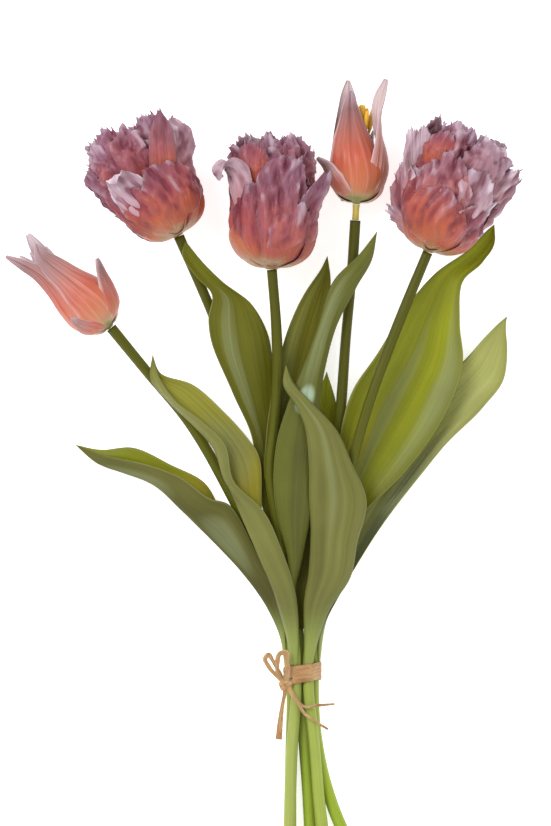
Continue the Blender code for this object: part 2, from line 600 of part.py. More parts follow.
def band_mesh(count):
    """The tie as one ring, ridged outside and plain inside."""
    steps = 2 * WRAPS + 1
    outside = [(i, BAND_THICKNESS, 0.0 if i % 2 else BAND_GROOVE) for i in range(steps)]
    inside = [(steps - 1, 0.0, 0.0), (0, 0.0, 0.0)]
    rows = []
    for i, grow, groove in outside + inside:
        ring = band_outline(grow, groove, count)
        y = BAND_WIDTH * (i / (steps - 1) - 0.5) + BAND_SLANT * ring[:, 0]
        rows.append(np.stack([ring[:, 0], y, ring[:, 1]], axis=1))
    faces = []
    for r in range(len(rows)):
        q = (r + 1) % len(rows)
        for c in range(count):
            d = (c + 1) % count
            faces.append((r * count + c, q * count + c, q * count + d, r * count + d))
    return np.array(rows).reshape(-1, 3), faces


def strand_mesh(stations, rows):
    """A flat strand of raffia, thicker along its middle."""
    line = through(stations, rows)
    tangents, right, up = carried_frames(line[:, :3])
    half = line[:, 3]
    thick = STRAND_THICKNESS / 2
    corners = [(1.0, 0.35), (0.0, 1.0), (-1.0, 0.35), (-1.0, -0.35), (0.0, -1.0), (1.0, -0.35)]
    rings = np.stack(
        [line[:, :3] + right * (half * a)[:, None] + up * thick * b for a, b in corners[::-1]], axis=1
    )
    rings[..., 2] += BOW_LIFT
    return rings_mesh(rings)


def raffia_bow(name):
    """The knot with its two loops and three tails, as one node."""
    knot, size = BOW_KNOT["place"], BOW_KNOT["size"]
    points, faces = egg_mesh(1.0, -1.0, 1.0, 5, 10)
    meshes = [(points * np.array(size) + np.array(knot) + (0, 0, BOW_LIFT), faces)]
    for strand, stations in BOW_STRANDS.items():
        meshes.append(strand_mesh(stations, 12 if "loop" in strand else 8))
    fuse(name, meshes, "raffia")


def neck(name, form):
    """The bare pedicel between a stem's end and its bud."""
    frame = flower_frame(form)
    reach = np.linspace(-form["lift"] - PETAL_THICKNESS, -SEAT_GAP - PETAL_THICKNESS, 4)
    line = np.stack([reach * 0, reach * 0, reach], axis=1)
    solid(name, *tube_mesh(set_in_frame(line, frame), [2.1, 2.0, 2.0, 2.3], 8), "neck")


def centre_rod(frame, start, end, radii):
    """A rod whose upper part is thicker, as a stamen's anther or a pistil's head is."""
    shares = np.array([0.0, 0.55, 0.7, 0.97, 1.0])[:, None]
    return tube_mesh(set_in_frame(start + (end - start) * shares, frame), radii, 6)


def bud_centre(name, form):
    """The pistil with six stamens round it, fused at the foot."""
    frame = flower_frame(form)
    points, faces = egg_mesh(4.6, CENTRE_FOOT, CENTRE_FOOT + 3.0, 4, 8)
    meshes = [(set_in_frame(points, frame), faces)]
    foot = np.array((0, 0, CENTRE_FOOT + 1.0))
    for i in range(STAMENS):
        angle = i * 2 * math.pi / STAMENS
        way = np.array((math.cos(angle), math.sin(angle), 0.0))
        head = np.array((0, 0, CENTRE_HEAD + 1.5 * math.sin(5.0 * i)))
        start = foot + way * STAMEN_RING
        meshes.append(centre_rod(frame, start, head + way * (STAMEN_RING + STAMEN_LEAN), STAMEN_RADII))
    meshes.append(centre_rod(frame, foot, np.array((0, 0, CENTRE_HEAD + 3.0)), PISTIL_RADII))
    fuse(name, meshes, "stamen")


def clear_scene():
    for thing in list(bpy.data.objects):
        bpy.data.objects.remove(thing)


def main():
    clear_scene()
    for name in STEMS:
        line = stem_line(name, STEM_RINGS)
        solid(name, *tube_mesh(line, stem_radii(line), STEM_SIDES), "stem")
    for name, form in LEAVES.items():
        solid(name, *sheet_mesh(leaf_grid(form, LEAF_ROWS, LEAF_COLUMNS), LEAF_THICKNESS), "leaf")
    for name, form in BLOOMS.items():
        bloom(name, form)
    for name, form in BUDS.items():
        bud(name, form)
    neck("neck_4", BUDS["bud_4"])
    bud_centre("centre_4", BUDS["bud_4"])
    solid("raffia_band", *band_mesh(BAND_SIDES), "raffia")
    raffia_bow("raffia_bow")


main()
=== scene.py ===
"""The looks of a tied bunch of parrot tulips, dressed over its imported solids.

Places are in millimetres in the solids' own frame, and are turned to metres when a mesh is made.
"""

import json
import math

import bpy
import numpy as np
from mathutils import Matrix, Vector

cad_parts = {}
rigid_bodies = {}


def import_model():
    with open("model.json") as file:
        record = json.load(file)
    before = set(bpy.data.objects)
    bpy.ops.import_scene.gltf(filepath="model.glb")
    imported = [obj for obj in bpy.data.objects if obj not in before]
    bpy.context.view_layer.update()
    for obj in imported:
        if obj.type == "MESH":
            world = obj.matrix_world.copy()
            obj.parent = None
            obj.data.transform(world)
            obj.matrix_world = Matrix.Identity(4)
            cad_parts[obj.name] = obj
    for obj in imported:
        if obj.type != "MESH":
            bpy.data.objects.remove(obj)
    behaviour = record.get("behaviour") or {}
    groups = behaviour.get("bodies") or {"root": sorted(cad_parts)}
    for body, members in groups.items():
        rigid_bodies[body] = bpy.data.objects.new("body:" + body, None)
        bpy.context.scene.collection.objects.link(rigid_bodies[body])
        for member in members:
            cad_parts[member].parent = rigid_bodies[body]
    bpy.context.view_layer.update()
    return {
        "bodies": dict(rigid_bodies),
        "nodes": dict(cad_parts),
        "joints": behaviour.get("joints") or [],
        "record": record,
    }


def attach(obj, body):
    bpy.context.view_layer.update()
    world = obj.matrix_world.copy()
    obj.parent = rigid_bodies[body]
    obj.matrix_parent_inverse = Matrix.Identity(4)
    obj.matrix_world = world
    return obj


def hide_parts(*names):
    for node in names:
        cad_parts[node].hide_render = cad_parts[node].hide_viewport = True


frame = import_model()

MM = 0.001
SEAT_GAP = 0.3

# The photograph's frame, and the place in it of the solids' origin
PICTURE = (551, 826)
MM_PER_PIXEL = 0.6
ORIGIN_PIXEL = (302.5, 675.0)
CAMERA_HEIGHT = 4000
CAMERA_AIM_HEIGHT = 30
SENSOR = 36
# How far the camera sees, in metres
CAMERA_SIGHT = 20

# Points along and across each kind of blade: a round layer's petal, a drawn petal, a bud's petal and a leaf
LAYER_GRID = (36, 41)
DRAWN_GRID = (52, 55)
LILY_GRID = (48, 33)
LEAF_GRID = (100, 27)
# Rings along each kind of rod or rounded solid, and points round it
STEM_RINGS = (160, 32)
NECK_RINGS = (24, 28)
ROD_RINGS = (40, 16)
SEAT_RINGS = (36, 44)
HEART_RINGS = (20, 36)
FOOT_RINGS = (12, 20)
STRAND_RINGS = (90, 20)
KNOT_RINGS = (24, 40)
# Points along a line that is only measured
FINE_LINE = 200
PROFILE_LINE = 80
# The step along a petal over which its slope is measured
SLOPE_STEP = 0.5

# Stems: thicker at the cut end than under the flower, with the places along Y where each radius holds
STEM_RADIUS_CUT = 3.9
STEM_RADIUS_TIE = 3.2
STEM_RADIUS_HEAD = 3.1
STEM_REACH = (-110, -20, 60, 250)

LEAF_THICKNESS = 0.9
# From the stem's skin to the middle of the leaf: at its sheath, and at the tongue that runs down from it
SHEATH_CLEARANCE = 1.15
TONGUE_CLEARANCE = 0.22
TONGUE_LENGTH = 17
TONGUE_SPREAD = 0.6
# The share of its last width that a leaf keeps at its blunt tip
TIP_SHARE = 0.08

# The solids' petals are this thick, and a flower's own frame stands that far off its foot
PETAL_THICKNESS = 0.8
# The thickness here of a parrot petal and of a bud's
PETAL_SKIN = 0.45
LILY_SKIN = 0.6
# Across their roots, drawn petals are bent to this radius
ROOT_BEND = 8.0
# The round layers' petals are bent across by this much more than the flower's radius there, and never tighter
LAYER_BEND = 1.08
LEAST_BEND = 7.0
# The longest finger of a fringe, and how strongly the round layers' petals are rumpled and fringed
FRINGE = 2.5
LAYER_RUMPLE = 1.2
LAYER_FRINGE = 1.1
# Wavelengths across and along a parrot petal: its dents, and its long, small and tiny folds
DENTS = (24, 26)
LONG_FOLDS = (19, 45)
SMALL_FOLDS = (9, 13)
TINY_FOLDS = (4.5, 7)
# What a petal's points carry for its finish
PETAL_VALUES = ("along", "across", "crest", "tone", "pale", "side")
# A bloom's core, as shares of its radius and height
HEART = (0.34, 0.62)
# How far along a petal the colour of a bloom's seat and of a bud's seat is taken
BLOOM_SEAT_SHARE = 0.16
BUD_SEAT_SHARE = 0.04

# The bare neck of the open bud, with its pistil and stamens: places along the bud's axis, and radii at
# shares of each rod's length
NECK_RADII = [(0, 2.1), (0.3, 2.0), (0.7, 2.0), (1, 2.3)]
CENTRE_FOOT = 15.0
CENTRE_HEAD = 56.0
FOOT_SIZE = (4.6, 3.0)
STAMENS = 6
STAMEN_RING = 2.9
STAMEN_LEAN = 3.4
STAMEN_UNEVEN = 1.5
PISTIL_OVER = 3.0
STAMEN_RADII = [(0, 0.8), (0.62, 0.5), (0.66, 0.7), (0.72, 1.35), (0.9, 1.45), (0.97, 1.1), (1, 0.5)]
PISTIL_RADII = [(0, 1.5), (0.7, 1.4), (0.9, 2.3), (0.97, 2.2), (1, 1.2)]

# Greens of the stems and leaves
LIME = (0.31, 0.36, 0.085)
VIVID_LIME = (0.27, 0.36, 0.030)
LEAF_FOOT = (0.26, 0.31, 0.075)
INNER_GREEN = (0.110, 0.110, 0.006)
WARM_GREEN = (0.200, 0.190, 0.026)
UNDER_GREEN = (0.160, 0.163, 0.042)
DULL_GREEN = (0.096, 0.094, 0.022)
GREY_GREEN = (0.112, 0.120, 0.018)
YELLOW_GREEN = (0.180, 0.194, 0.006)
LIGHT_GREEN = (0.285, 0.295, 0.085)
DARK_GREEN = (0.106, 0.102, 0.006)
# Near-black painted shade for a leaf foot that lies between the stems
FOOT_SHADE_GREEN = (0.030, 0.036, 0.008)
SAGE = (0.225, 0.250, 0.120)
OCHRE = (0.290, 0.245, 0.012)
MINT = (0.46, 0.60, 0.43)
# Painted shade towards a leaf's edges
LEAF_EDGE_SHADE = (0.085, 0.080, 0.010)
LEAF_RIM = (0.30, 0.31, 0.12)

# Reds and lilacs of the petals
CORAL = (0.52, 0.160, 0.074)
MAUVE = (0.220, 0.074, 0.125)
MAROON = (0.20, 0.050, 0.085)
# Lilac-white: the pale petals' own colour, and also a painted highlight on the crests of the folds
PALE_AND_HIGHLIGHT_LILAC = (0.72, 0.57, 0.66)
PETAL_FOOT = (0.48, 0.34, 0.19)
PETAL_RIM = (0.46, 0.34, 0.44)
# Painted shade for the hollows between a petal's folds
PETAL_VALLEY_SHADE = (0.16, 0.020, 0.040)
BUD_RIM = (0.62, 0.50, 0.55)
# Painted highlight for the crests of a bud petal's folds and ribs
BUD_CREST_HIGHLIGHT = (0.78, 0.34, 0.24)
BUD_FROST = (0.58, 0.44, 0.44)

# Colours from one end of a piece, or of a streak, to the other
STEM_RAMP = [(0.0, LIME), (0.20, LIME), (0.34, (0.24, 0.28, 0.05)), (0.52, (0.095, 0.100, 0.006)),
             (0.90, (0.070, 0.070, 0.004))]
PETAL_RAMP = [(0.0, CORAL), (0.20, (0.48, 0.100, 0.046)), (0.42, (0.40, 0.076, 0.066)),
              (0.62, (0.27, 0.062, 0.085)), (0.82, MAUVE), (1.0, (0.26, 0.12, 0.21))]
PETAL_INSIDE_RAMP = [(0.0, (0.50, 0.35, 0.16)), (0.2, (0.50, 0.20, 0.09)), (0.5, (0.42, 0.18, 0.18)),
                     (1.0, (0.60, 0.47, 0.54))]
BUD_RAMP = [(0.0, (0.26, 0.25, 0.08)), (0.05, (0.46, 0.28, 0.13)), (0.12, (0.52, 0.17, 0.07)),
            (0.38, (0.45, 0.068, 0.024)), (0.60, (0.34, 0.064, 0.034)), (0.80, (0.19, 0.062, 0.062)),
            (1.0, (0.42, 0.30, 0.36))]
BUD_INSIDE_RAMP = [(0.0, (0.50, 0.30, 0.14)), (0.35, (0.46, 0.15, 0.08)), (0.65, (0.52, 0.34, 0.34)),
                   (1.0, (0.58, 0.54, 0.60))]
NECK_RAMP = [(0.0, (0.40, 0.36, 0.05)), (0.5, (0.58, 0.44, 0.06)), (1.0, (0.50, 0.44, 0.12))]
STAMEN_RAMP = [(0.0, (0.55, 0.45, 0.20)), (0.6, (0.60, 0.50, 0.18)), (0.68, (0.68, 0.36, 0.02)),
               (1.0, (0.78, 0.44, 0.03))]
RAFFIA_RAMP = [(0.0, (0.26, 0.105, 0.036)), (0.3, (0.50, 0.24, 0.095)), (0.6, (0.68, 0.42, 0.18)),
               (1.0, (0.86, 0.64, 0.38))]

# How vivid each stem's lower part is
STEM_VIVID = {"stem_1": 0.1, "stem_2": 0.9, "stem_3": 0.0, "stem_4": 1.0, "stem_5": 0.4}

# Each leaf's inner face, its underside and its foot
LEAF_COLOURS = {
    "leaf_1": (INNER_GREEN, UNDER_GREEN, DARK_GREEN),
    "leaf_2": (WARM_GREEN, UNDER_GREEN, LEAF_FOOT),
    "leaf_3": (YELLOW_GREEN, DULL_GREEN, LEAF_FOOT),
    "leaf_4": (INNER_GREEN, UNDER_GREEN, LEAF_FOOT),
    "leaf_5": (INNER_GREEN, GREY_GREEN, GREY_GREEN),
    "leaf_6": (DARK_GREEN, UNDER_GREEN, DARK_GREEN),
    "leaf_7": (YELLOW_GREEN, UNDER_GREEN, DARK_GREEN),
    # Its foot and long sheath are painted near-black: painted shade where they lie between the stems
    "leaf_8": (YELLOW_GREEN, UNDER_GREEN, FOOT_SHADE_GREEN),
    "leaf_9": (LIGHT_GREEN, UNDER_GREEN, LEAF_FOOT),
}

# Soft patches on a leaf: colour, strength, where along it (0 to 1) and across it (-1 to 1), and how far it
# reaches along and across
LEAF_PATCHES = {
    "leaf_1": [(SAGE, 0.5, 0.60, -0.3, 0.25, 0.35), (DARK_GREEN, 0.6, 0.35, 0.3, 0.25, 0.6)],
    "leaf_2": [(OCHRE, 0.7, 0.52, 0.75, 0.16, 0.4), (SAGE, 0.4, 0.66, 0.6, 0.14, 0.4),
               (DARK_GREEN, 0.8, 1.0, 0.0, 0.10, 2.0)],
    "leaf_3": [(SAGE, 0.6, 0.42, -0.45, 0.13, 0.35), (OCHRE, 0.8, 0.60, 0.7, 0.14, 0.5),
               (SAGE, 0.4, 0.78, -0.3, 0.12, 0.4), (DARK_GREEN, 0.5, 1.0, 0.0, 0.08, 2.0)],
    "leaf_4": [(SAGE, 0.35, 0.62, 0.1, 0.30, 0.16), (DULL_GREEN, 0.7, 0.35, 0.5, 0.30, 0.35),
               (GREY_GREEN, 0.5, 0.45, -0.6, 0.3, 0.25)],
    "leaf_5": [(MINT, 0.9, 0.555, 0.05, 0.035, 0.55), (SAGE, 0.5, 0.72, 0.1, 0.16, 0.6),
               (DULL_GREEN, 0.6, 0.30, -0.2, 0.18, 0.5)],
    "leaf_6": [(LIGHT_GREEN, 0.35, 0.60, -0.6, 0.35, 0.35)],
    "leaf_8": [(SAGE, 0.55, 0.62, 0.75, 0.22, 0.28), (SAGE, 0.35, 0.55, -0.1, 0.25, 0.18),
               (OCHRE, 0.35, 0.40, -0.5, 0.12, 0.4)],
    "leaf_9": [(SAGE, 0.9, 0.30, 0.65, 0.42, 0.45), (OCHRE, 0.5, 0.62, -0.3, 0.1, 0.6)],
}

# The room: even light all round and broad soft lamps (place in metres, size, power)
FLOOR_COLOUR = (0.93, 0.93, 0.93)
FLOOR_GLOW = 0.60
FLOOR_DROP = -0.3
FLOOR_REACH = 3.0
ROOM_LIGHT = 0.85
WHITE = (1, 1, 1, 1)
LIGHTS = {
    "key": ((-0.9, 0.9, 1.5), 0.9, 22),
    "fill": ((1.2, -0.6, 1.2), 1.2, 5),
}
LIGHT_AIM = (0.0, 0.16, 0.0)

# Each stem's centre line, from its cut end to its flower
STEMS = {
    "stem_1": [(-7.5, -100, 4.3), (-7, -50, 4.4), (-6.8, 0, 4.6), (-12, 40, 6), (-25, 70, 8.2),
               (-42, 106, 11), (-70, 154, 16), (-93, 181.5, 18), (-115, 208.5, 19.5)],
    "stem_2": [(5.5, -108, 4.3), (3.4, -70, 4.4), (0.8, -35, 4.4), (0, 0, 4.6), (-5, 45, 5.5),
               (-12.5, 85, 7.5), (-22, 125, 12), (-30, 152, 17), (-42, 182, 23), (-54.5, 218, 29.5),
               (-60, 231, 32), (-74, 263, 35.1)],
    "stem_3": [(-8, -112, 12.2), (-6.2, -45, 11.7), (-3.6, -8, 10.7), (-3.8, 8, 10.8), (-9, 50, 13.5),
               (-16, 96, 19.5), (-19.5, 120, 22.5), (-17, 150, 25), (-15, 180, 28.5), (-15.6, 206, 31.4),
               (-18.4, 243, 34)],
    "stem_4": [(27, -101, 4.3), (19, -82, 4.3), (13, -63, 4.3), (8.4, -38, 4.4), (6.9, 0, 4.6),
               (10, 50, 5.5), (16, 100, 8), (22.5, 153, 12), (26, 201, 16), (30.3, 249, 20),
               (31.8, 273, 21.5)],
    "stem_5": [(13.5, -106, 10.0), (10.4, -80, 10.4), (6.8, -38, 11.8), (3.6, -8, 10.7), (3.6, 8, 10.7),
               (8, 35, 13), (16, 75, 16.5), (29.7, 128, 23), (40.5, 165, 28), (51.3, 195, 30.4),
               (64, 227, 32.6), (75, 253.5, 34.6)],
}

# Leaves: the stem each one clasps, where along Y, the way it faces there (degrees from +X towards +Z), and
# half the angle that it clasps. Then three ribs from the sheath to the tip: a margin, the keel and the other
# margin. Crease is 2 for a round channel. Waves are how high the margins wave, how often and from what phase.
# A long sheath has rows of its own below the clasp, each with the same three places.
LEAVES = {
    # Broad leaf left of the middle, inner face up, passing over stem 2 and under stem 3
    "leaf_1": dict(
        clasp=("stem_3", 74, -110, 55), crease=2.0, waves=(1.0, 2.2, 0.5),
        left=[(-27, 113, 17.5), (-31, 146, 23), (-42, 170, 29), (-55, 200, 35.5), (-56.5, 213, 38),
              (-54, 228, 40), (-64, 240, 43), (-72, 252, 44)],
        keel=[(-20, 110, 15.2), (-24, 144, 18.6), (-31, 168, 22.5), (-38, 194, 27.5), (-40, 208, 30.5),
              (-43, 226, 34), (-57, 238, 39.5), (-67, 251, 42)],
        right=[(-14, 108, 15.6), (-17, 142, 16.8), (-17, 166, 17.8), (-17.5, 188, 21), (-20.5, 204, 23.5),
               (-31, 223, 29), (-49, 237, 38), (-62, 250, 42)],
        tip=(-70, 260, 44),
    ),
    # Folded leaf on the left, in front of stem 1
    "leaf_2": dict(
        clasp=("stem_3", 21, 120, 65), crease=1.6, waves=(0.8, 2.0, 2.0),
        left=[(-3.5, 45, 18.5), (-12, 74, 25), (-24, 99, 29), (-42, 116, 30), (-47, 138, 31),
              (-60, 152, 31), (-76, 165, 30), (-86, 179, 28)],
        keel=[(-13, 44, 19), (-27, 74, 22), (-38, 99, 21), (-46, 118, 19.5), (-54, 137, 20),
              (-66, 151, 21), (-80, 165, 22.5), (-91, 178, 23.5)],
        right=[(-16, 46, 14.5), (-24, 77, 16), (-24.5, 103, 20), (-25.5, 128, 23), (-33, 142, 25.5),
               (-47, 158, 25), (-66, 174.5, 24), (-85, 181, 24.5)],
        tip=(-90, 192, 25),
    ),
    # Long drooping leaf at the far left, folded round stem 1
    "leaf_3": dict(
        clasp=("stem_1", 21, 180, 65), crease=1.6, waves=(1.0, 2.4, 1.0),
        left=[(-12, 45, 10.9), (-27, 72, 13.8), (-42, 100, 17), (-57, 106, 20), (-74, 119, 17),
              (-96, 127, 13), (-117, 131, 8.5)],
        keel=[(-20, 38, 6), (-37, 62, 9), (-55, 81, 11), (-74, 99.5, 11), (-90, 114, 9), (-109, 121.5, 7),
              (-122, 126, 5.5)],
        right=[(-13, 42, 1.6), (-30, 68, 3.8), (-48, 97, 6.3), (-60, 116, 9.5), (-78, 125.5, 9.5),
               (-103, 136.5, 8.5), (-120, 135, 6.5)],
        tip=(-137, 138, 4.5),
    ),
    # Frontmost leaf, seen from outside, its tip folded over
    "leaf_4": dict(
        clasp=("stem_5", 21, 90, 70), crease=2.2, waves=(1.0, 2.0, 0.0),
        left=[(17, 40, 16.5), (29, 58, 18.5), (33, 80, 22), (38, 104, 27), (30, 126, 31), (20, 149, 35),
              (6, 163.5, 38), (-6, 176, 39)],
        keel=[(9, 42, 21), (16, 61, 25), (18, 83, 29), (20, 105, 33), (17, 127, 37), (11, 149, 39.5),
              (1, 163, 41), (-9, 176, 41)],
        right=[(1, 43, 17.5), (4, 62, 20), (4.5, 84, 24), (3.5, 106, 30), (4, 128, 34), (2, 149, 37),
               (-4, 162, 39), (-12, 175, 40)],
        tip=(-10, 186, 36),
    ),
    # Long leaf in the middle, crossing stems 3 and 4
    "leaf_5": dict(
        clasp=("stem_3", 48, 85, 62), crease=2.0, waves=(0.8, 2.2, 1.5),
        left=[(-1, 66, 19), (4, 92, 24.5), (8, 118, 27), (10, 142, 30), (11, 163, 31), (14, 183, 30.5),
              (20, 209, 28), (32, 233, 26), (42, 250, 25)],
        keel=[(-5, 66, 22), (-6, 93, 28), (-5, 118, 31.3), (-3, 142, 34), (1, 162, 35), (6, 182, 35),
              (13, 207, 33), (25, 235, 31), (38, 251, 29)],
        right=[(-9, 67, 20), (-15, 94, 25.5), (-17.5, 118, 29.5), (-15, 142, 32), (-9, 161, 34),
               (-1, 181, 33.5), (8, 206, 32), (19, 237, 30), (34, 252, 28)],
        tip=(44.7, 266, 27),
    ),
    # Dark leaf behind stem 3
    "leaf_6": dict(
        clasp=("stem_3", 118, -90, 46), crease=2.0, waves=(0.6, 2.0, 0.7),
        sheath=[[(-3.2, 27, 9.2), (-0.5, 27, 9.1), (2.4, 27, 9.2)],
                [(-6, 42, 9.3), (-2.5, 42, 9.2), (2.2, 42, 9.3)],
                [(-8, 52, 9.8), (-3, 52, 9.5), (3.4, 52, 9.8)],
                [(-11, 76, 11), (-4, 76, 10.4), (5.2, 76, 11)],
                [(-14, 99, 16), (-5, 99, 15), (5, 99, 15.5)]],
        left=[(-22, 140, 20.5), (-19.5, 162, 22.5), (-15, 186, 24), (-8, 210, 25), (2, 230, 25),
              (11, 243, 25)],
        keel=[(-13, 140, 18), (-8, 161, 18), (-2, 184, 18.5), (4, 206, 20), (10, 227, 21), (14, 240, 22)],
        right=[(-6, 138, 19.5), (3, 160, 18.5), (8, 182, 18.5), (12, 203, 19), (16, 224, 20),
               (17, 238, 22)],
        tip=(15, 251.4, 24),
    ),
    # Small leaf behind stem 4
    "leaf_7": dict(
        clasp=("stem_4", 103, -90, 60), crease=2.0, waves=(0.5, 1.5, 0.2),
        left=[(8, 128, 7.5), (7, 152, 10), (10, 170, 12)],
        keel=[(15, 127, 4.2), (14, 150, 6), (15, 167, 9)],
        right=[(22, 126, 5.5), (22, 148, 7), (20, 164, 9.5)],
        tip=(14.7, 182, 12),
    ),
    # Large leaf on the right, behind stem 5
    "leaf_8": dict(
        clasp=("stem_5", 78, -80, 60), crease=2.0, waves=(1.2, 2.2, 2.4),
        # The long sheath reaches down between the stems, where its foot colour is a painted shade
        sheath=[[(3, 20, 8), (6, 20, 7.2), (9, 20, 8)], [(4.6, 50, 9.5), (8, 50, 8.7), (12, 50, 9.5)]],
        left=[(19, 104, 15.5), (22, 140, 17), (30, 171, 18), (46, 194, 20), (64, 222, 21), (81, 242, 19),
              (100, 256, 15), (112, 268, 13)],
        keel=[(27, 101, 12), (41, 131, 12), (57, 163, 12), (71, 190, 13), (80, 217, 15), (89, 239, 15),
              (105, 253, 11.5), (114, 265, 12)],
        right=[(36, 96, 13.5), (61, 121, 14.5), (85, 155, 14.5), (96.5, 186, 14.5), (95, 212, 16),
               (96.5, 236, 15.5), (109, 249, 13.5), (116, 262, 13.5)],
        tip=(115.5, 270.6, 13),
    ),
    # Long leaf at the far right, under the large one
    "leaf_9": dict(
        clasp=("stem_4", 22, -5, 62), crease=1.8, waves=(1.0, 2.4, 0.9),
        left=[(15, 53, 4.5), (22, 84, 4), (36, 119, 4.5), (58, 148, 5), (83, 176, 6), (99, 190, 7),
              (110, 203, 8), (119, 212, 9)],
        keel=[(19, 50, 2.5), (31, 78, 2), (50, 111, 2), (72, 141, 2), (97, 167, 2.5), (112, 183, 4),
              (118, 198, 6), (121, 210, 8)],
        right=[(24, 50, 7), (40, 77, 7.5), (62, 108, 8), (85, 137, 8), (110, 161, 9), (121.5, 178, 11),
               (123, 196, 11), (122.5, 209, 10)],
        tip=(123.3, 215.4, 9),
    ),
}

# Lengthwise shapes of petals, as shares of the flower's radius and height, from the root to the margin
PROFILES = {
    "cup": [(0.08, 0.0), (0.42, 0.02), (0.78, 0.14), (0.95, 0.33), (0.97, 0.55), (0.86, 0.75), (0.72, 0.92)],
    "open": [(0.08, 0.0), (0.42, 0.02), (0.78, 0.14), (0.93, 0.33), (0.97, 0.55), (1.02, 0.70), (1.16, 0.82)],
    "tall": [(0.08, 0.0), (0.38, 0.02), (0.68, 0.14), (0.80, 0.33), (0.82, 0.55), (0.86, 0.75), (0.98, 0.94)],
    "mid": [(0.06, 0.01), (0.34, 0.04), (0.64, 0.18), (0.80, 0.40), (0.82, 0.62), (0.74, 0.84), (0.66, 1.0)],
    "inner": [(0.05, 0.02), (0.26, 0.08), (0.46, 0.25), (0.54, 0.50), (0.48, 0.75), (0.40, 0.95)],
    "bud": [(0.10, 0.0), (0.50, 0.02), (0.88, 0.13), (1.0, 0.30), (0.85, 0.50), (0.62, 0.68), (0.54, 0.85),
            (0.62, 1.0)],
}
# The bowl under the petals, in the same shares, which each flower widens or narrows by its own seat share
SEAT_PROFILE = [(0.09, 0.0), (0.16, 0.006), (0.36, 0.03), (0.54, 0.08), (0.66, 0.15), (0.72, 0.24),
                (0.66, 0.34), (0.42, 0.40), (0.10, 0.42)]

